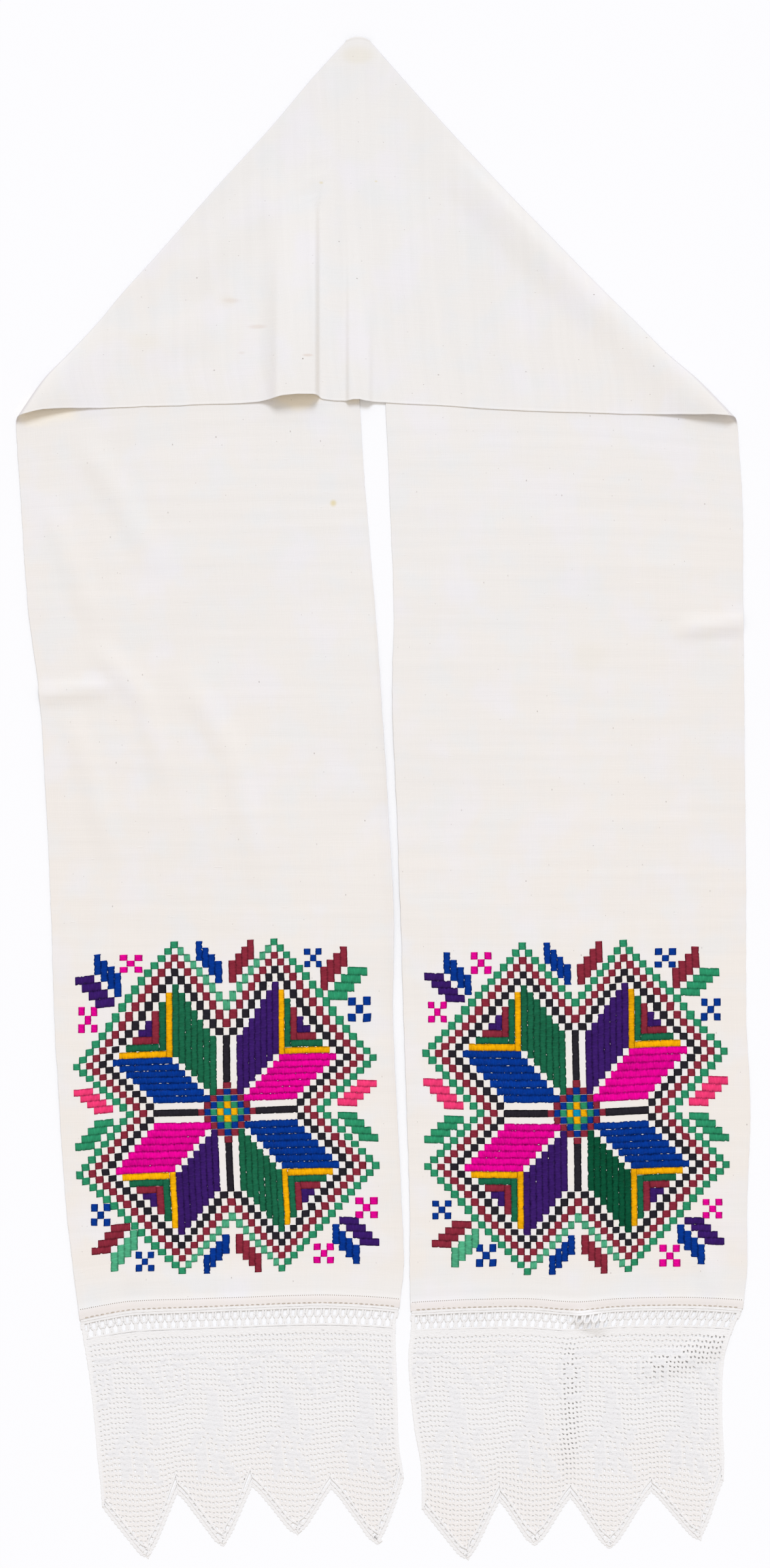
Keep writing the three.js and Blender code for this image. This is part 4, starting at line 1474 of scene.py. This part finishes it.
def build_lace(side, look, cotton, border_cotton):
    """The mesh, the heading and the border of one end."""
    chance = random.Random(31 + side)
    name = SIDE_NAMES[side]
    thickness = look.thickness / MM

    def ground(x, y):
        """The lace lies flatter than the cloth, from a little below the hem."""
        flatter = mix(1, 0.2, ease((-y - LEG_LENGTH) / 35))
        return ridges_at(LEG_RIDGES, x, y) + drape(x, y) * flatter

    def thread(part, replaced, material, *kinds):
        """A piece of several kinds of thread: their paths, their shares of the lace's thickness,
        and a 1 where they fill a mesh."""
        parts = [tubes(paths, share * thickness, ground, *close) for paths, share, *close in kinds]
        return add_piece(part + name, joined(parts, part), material, replaced)

    ribs, posts, close_even, close_odd = filet_paths(side, look, chance)
    frill, rims, inner_rims, ties = edging_paths(side, chance)
    kinds = (ribs, 1.0), (posts, 0.84), (close_even, 1.14, 1.0), (close_odd, 1.07, 1.0)
    filet = thread("lace_filet_", "lace_" + name, cotton, *kinds)
    bands, left_strands, right_strands = heading_paths(side, chance)
    kinds = [(bands[:1], 1.7), (bands[1:2], 1.25), (bands[2:], 0.9)]
    kinds += [(left_strands, 0.62), (right_strands, 0.7)]
    heading = thread("lace_heading_", None, cotton, *kinds)
    kinds = (frill, 0.4), (rims, 1.1), (inner_rims, 2.1), (ties, 1.5)
    edging = thread("lace_edging_", None, border_cotton, *kinds)
    return filet, heading, edging


# ---------------- the hem's stitching

SEAM_DEPTH = 8.6  # above the hem's edge
SEAM_STITCH = 2.1
SEAM_RUN = (0.004, 0.992)  # where it starts on the hem's width, and over how much of it
SEAM_ENDS = (0.3, 0.66)  # of a stitch, as shares of its length
SEAM_HALF = 0.36  # half its width
SEAM_THICKNESS, SEAM_SINK = 0.4, 0.14
HOLE_DEPTH = 0.9
HOLE_PITCH = 5.1
HOLE_RUN = (0.015, 0.97)
HOLE_HALF_LENGTH = 0.34  # as a share of the pitch
HOLE_HALF = (0.4, 0.72)  # half its width at its ends and in its middle
HOLE_THICKNESS, HOLE_SINK = 0.16, 0.05


def build_seams(side, thread_look, cloth_look):
    """The machine stitching above the hem's edge, and the thread that joins the lace to it, darkened with
    painted shade from its holes.
    """
    chance = random.Random(51 + side)
    width = abs(LEGS[side][-1][1] - LEGS[side][-1][2])

    def on_hem(share, depth):
        return leg_place(side, share, -(LEG_LENGTH - depth))

    def sewn(part, paths, thickness, height, material):
        bm = tubes(paths, thickness, lambda x, y: ground_height(x, y) + height)
        return add_piece(part + SIDE_NAMES[side], joined([bm], part), material)

    stitches = []
    start, spread = SEAM_RUN
    count = int((width - 2) / SEAM_STITCH)
    for k in range(count):
        ends = [start + spread * ((k + end) / count) for end in SEAM_ENDS]
        stitches.append([(*on_hem(end, SEAM_DEPTH), SEAM_HALF) for end in ends])
    holes = []
    start, spread = HOLE_RUN
    thin, thick = HOLE_HALF
    count = int((width - 8) / HOLE_PITCH)
    for k in range(count):
        size = chance.uniform(0.8, 1.12)
        slant = chance.uniform(-0.5, 0.4)
        half = HOLE_HALF_LENGTH * size
        a, b = (on_hem(start + spread * (k + 0.5 + end) / count, HOLE_DEPTH) for end in (-half, half))
        left, right = sorted((a, b))
        middle = (mix(a[0], b[0], 0.5), mix(a[1], b[1], 0.5), thick * size)
        holes.append([(left[0], left[1] - slant / 2, thin), middle, (right[0], right[1] + slant / 2, thin)])
    sewing = seam_material("Seam thread", thread_look.seam)
    height = cloth_look.thickness / MM - SEAM_SINK
    seam = sewn("hem_seam_", stitches, SEAM_THICKNESS, height, sewing)
    # Partly painted shade: the joining thread is coloured as the shade in its holes.
    hole_shade = seam_material("Joining thread", thread_look.hole)
    height = cloth_look.hem_thickness / MM - HOLE_SINK
    return seam, sewn("hem_holes_", holes, HOLE_THICKNESS, height, hole_shade)


# ---------------- operators

FLOOR_HALF = 9.0
FLOOR_DROP = 0.0001  # so that the cloth's underside doesn't share its plane
SUN_FROM = (0.08, 1, 0)
CAMERA_SHIFT = (0.0017, 0.0154)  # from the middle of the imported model


class RUSHNYK_OT_cloth(bpy.types.Operator):
    """Lays the folded homespun strip"""

    bl_idname = "rushnyk.cloth"
    bl_label = "Cloth"

    def execute(self, context):
        build_cloth(settings(context, "cloth"))
        return {"FINISHED"}


class RUSHNYK_OT_embroidery(bpy.types.Operator):
    """Works both star panels in satin stitch"""

    bl_idname = "rushnyk.embroidery"
    bl_label = "Embroidery"

    def execute(self, context):
        need_cloth()
        look = settings(context, "thread")
        material = thread_material(look)
        for side in SIDE_NAMES:
            build_panel(side, look, settings(context, "cloth"), material)
        return {"FINISHED"}


class RUSHNYK_OT_hems(bpy.types.Operator):
    """Sews the two hems"""

    bl_idname = "rushnyk.hems"
    bl_label = "Hem stitching"

    def execute(self, context):
        need_cloth()
        for side in SIDE_NAMES:
            build_seams(side, settings(context, "thread"), settings(context, "cloth"))
        return {"FINISHED"}


class RUSHNYK_OT_lace(bpy.types.Operator):
    bl_idname = "rushnyk.lace"
    bl_label = "Lace"

    def execute(self, context):
        need_cloth()
        look = settings(context, "lace")
        cotton = lace_material("Crochet cotton", look.colour, look.aged, look.close)
        border_cotton = lace_material("Border cotton", look.border, look.colour, look.close)
        for side in SIDE_NAMES:
            filet, heading, edging = build_lace(side, look, cotton, border_cotton)
        return {"FINISHED"}


class RUSHNYK_OT_stage(bpy.types.Operator):
    """Sets the floor, the light and the camera straight above"""

    bl_idname = "rushnyk.stage"
    bl_label = "Stage"

    def execute(self, context):
        look = settings(context, "stage")
        scene = context.scene
        bm = bmesh.new()
        bmesh.ops.create_grid(bm, x_segments=1, y_segments=1, size=FLOOR_HALF)
        for vert in bm.verts:
            vert.co.z = -FLOOR_DROP
        floor = bpy.data.objects.new("floor", mesh_from(bm, "floor", False))
        graph = Graph(bpy.data.materials.new("Plain floor"))
        inputs = {"Base Color": rgba(look.floor), "Roughness": 0.95, "Specular IOR Level": 0.0}
        shader = graph.node("ShaderNodeBsdfPrincipled", {}, inputs)
        graph.node("ShaderNodeOutputMaterial", {}, {"Surface": shader.outputs[0]})
        floor.data.materials.append(graph.holder)
        scene.collection.objects.link(floor)

        # The camera sees plain white past the floor.
        graph = Graph(bpy.data.worlds.new("Studio"))
        seen = graph.node("ShaderNodeLightPath").outputs["Is Camera Ray"]
        soft = rgba([channel * look.sky_level for channel in look.sky])
        sky = graph.node("ShaderNodeBackground", {}, {"Color": graph.blend(seen, soft, (1, 1, 1, 1))})
        graph.node("ShaderNodeOutputWorld", {}, {"Surface": sky.outputs[0]})
        scene.world = graph.holder

        sun = bpy.data.lights.new("key", "SUN")
        sun.color = look.sun
        sun.energy = math.pi * look.sun_level / math.sin(look.sun_elevation)
        sun.angle = look.sun_width
        key = bpy.data.objects.new("key", sun)
        scene.collection.objects.link(key)
        towards = Vector(SUN_FROM).normalized() * math.cos(look.sun_elevation)
        towards.z = math.sin(look.sun_elevation)
        key.rotation_mode = "QUATERNION"
        key.rotation_quaternion = towards.to_track_quat("Z", "Y")

        lens = bpy.data.cameras.new("camera")
        lens.lens, lens.sensor_width = 85.0, 36.0
        lens.clip_start, lens.clip_end = 0.1, 50.0
        camera = bpy.data.objects.new("camera", lens)
        low, high = (Vector(corner) for corner in CAD_BOX)
        centre = (low + high) / 2
        camera.location = (centre.x + CAMERA_SHIFT[0], centre.y + CAMERA_SHIFT[1], look.camera_height)
        scene.collection.objects.link(camera)
        scene.camera = camera
        scene.view_settings.view_transform = "Standard"
        return {"FINISHED"}


class RUSHNYK_PT_sidebar(bpy.types.Panel):
    """Lists the steps and their settings"""

    bl_idname = "RUSHNYK_PT_sidebar"
    bl_label = "Rushnyk"
    bl_space_type = "VIEW_3D"
    bl_region_type = "UI"
    bl_category = "Rushnyk"

    def draw(self, context):
        for part, steps in STEPS.items():
            box = self.layout.box()
            look = settings(context, part)
            for name in look.__annotations__:
                box.prop(look, name)
            for step in steps:
                box.operator("rushnyk." + step)


STEPS = {"cloth": ["cloth"], "thread": ["embroidery", "hems"], "lace": ["lace"], "stage": ["stage"]}
GROUPS = {
    "cloth": RushnykClothSettings,
    "thread": RushnykThreadSettings,
    "lace": RushnykLaceSettings,
    "stage": RushnykStageSettings,
}
OPERATORS = [RUSHNYK_OT_cloth, RUSHNYK_OT_embroidery, RUSHNYK_OT_hems, RUSHNYK_OT_lace, RUSHNYK_OT_stage]
CLASSES = [*GROUPS.values(), *OPERATORS, RUSHNYK_PT_sidebar]


def register():
    for cls in CLASSES:
        bpy.utils.register_class(cls)
    for part, group in GROUPS.items():
        setattr(bpy.types.Scene, "rushnyk_" + part, bpy.props.PointerProperty(type=group))


def unregister():
    for part in GROUPS:
        delattr(bpy.types.Scene, "rushnyk_" + part)
    for cls in reversed(CLASSES):
        bpy.utils.unregister_class(cls)


def main():
    register()
    for steps in STEPS.values():
        for step in steps:
            getattr(bpy.ops.rushnyk, step)()


if __name__ == "__main__":
    main()
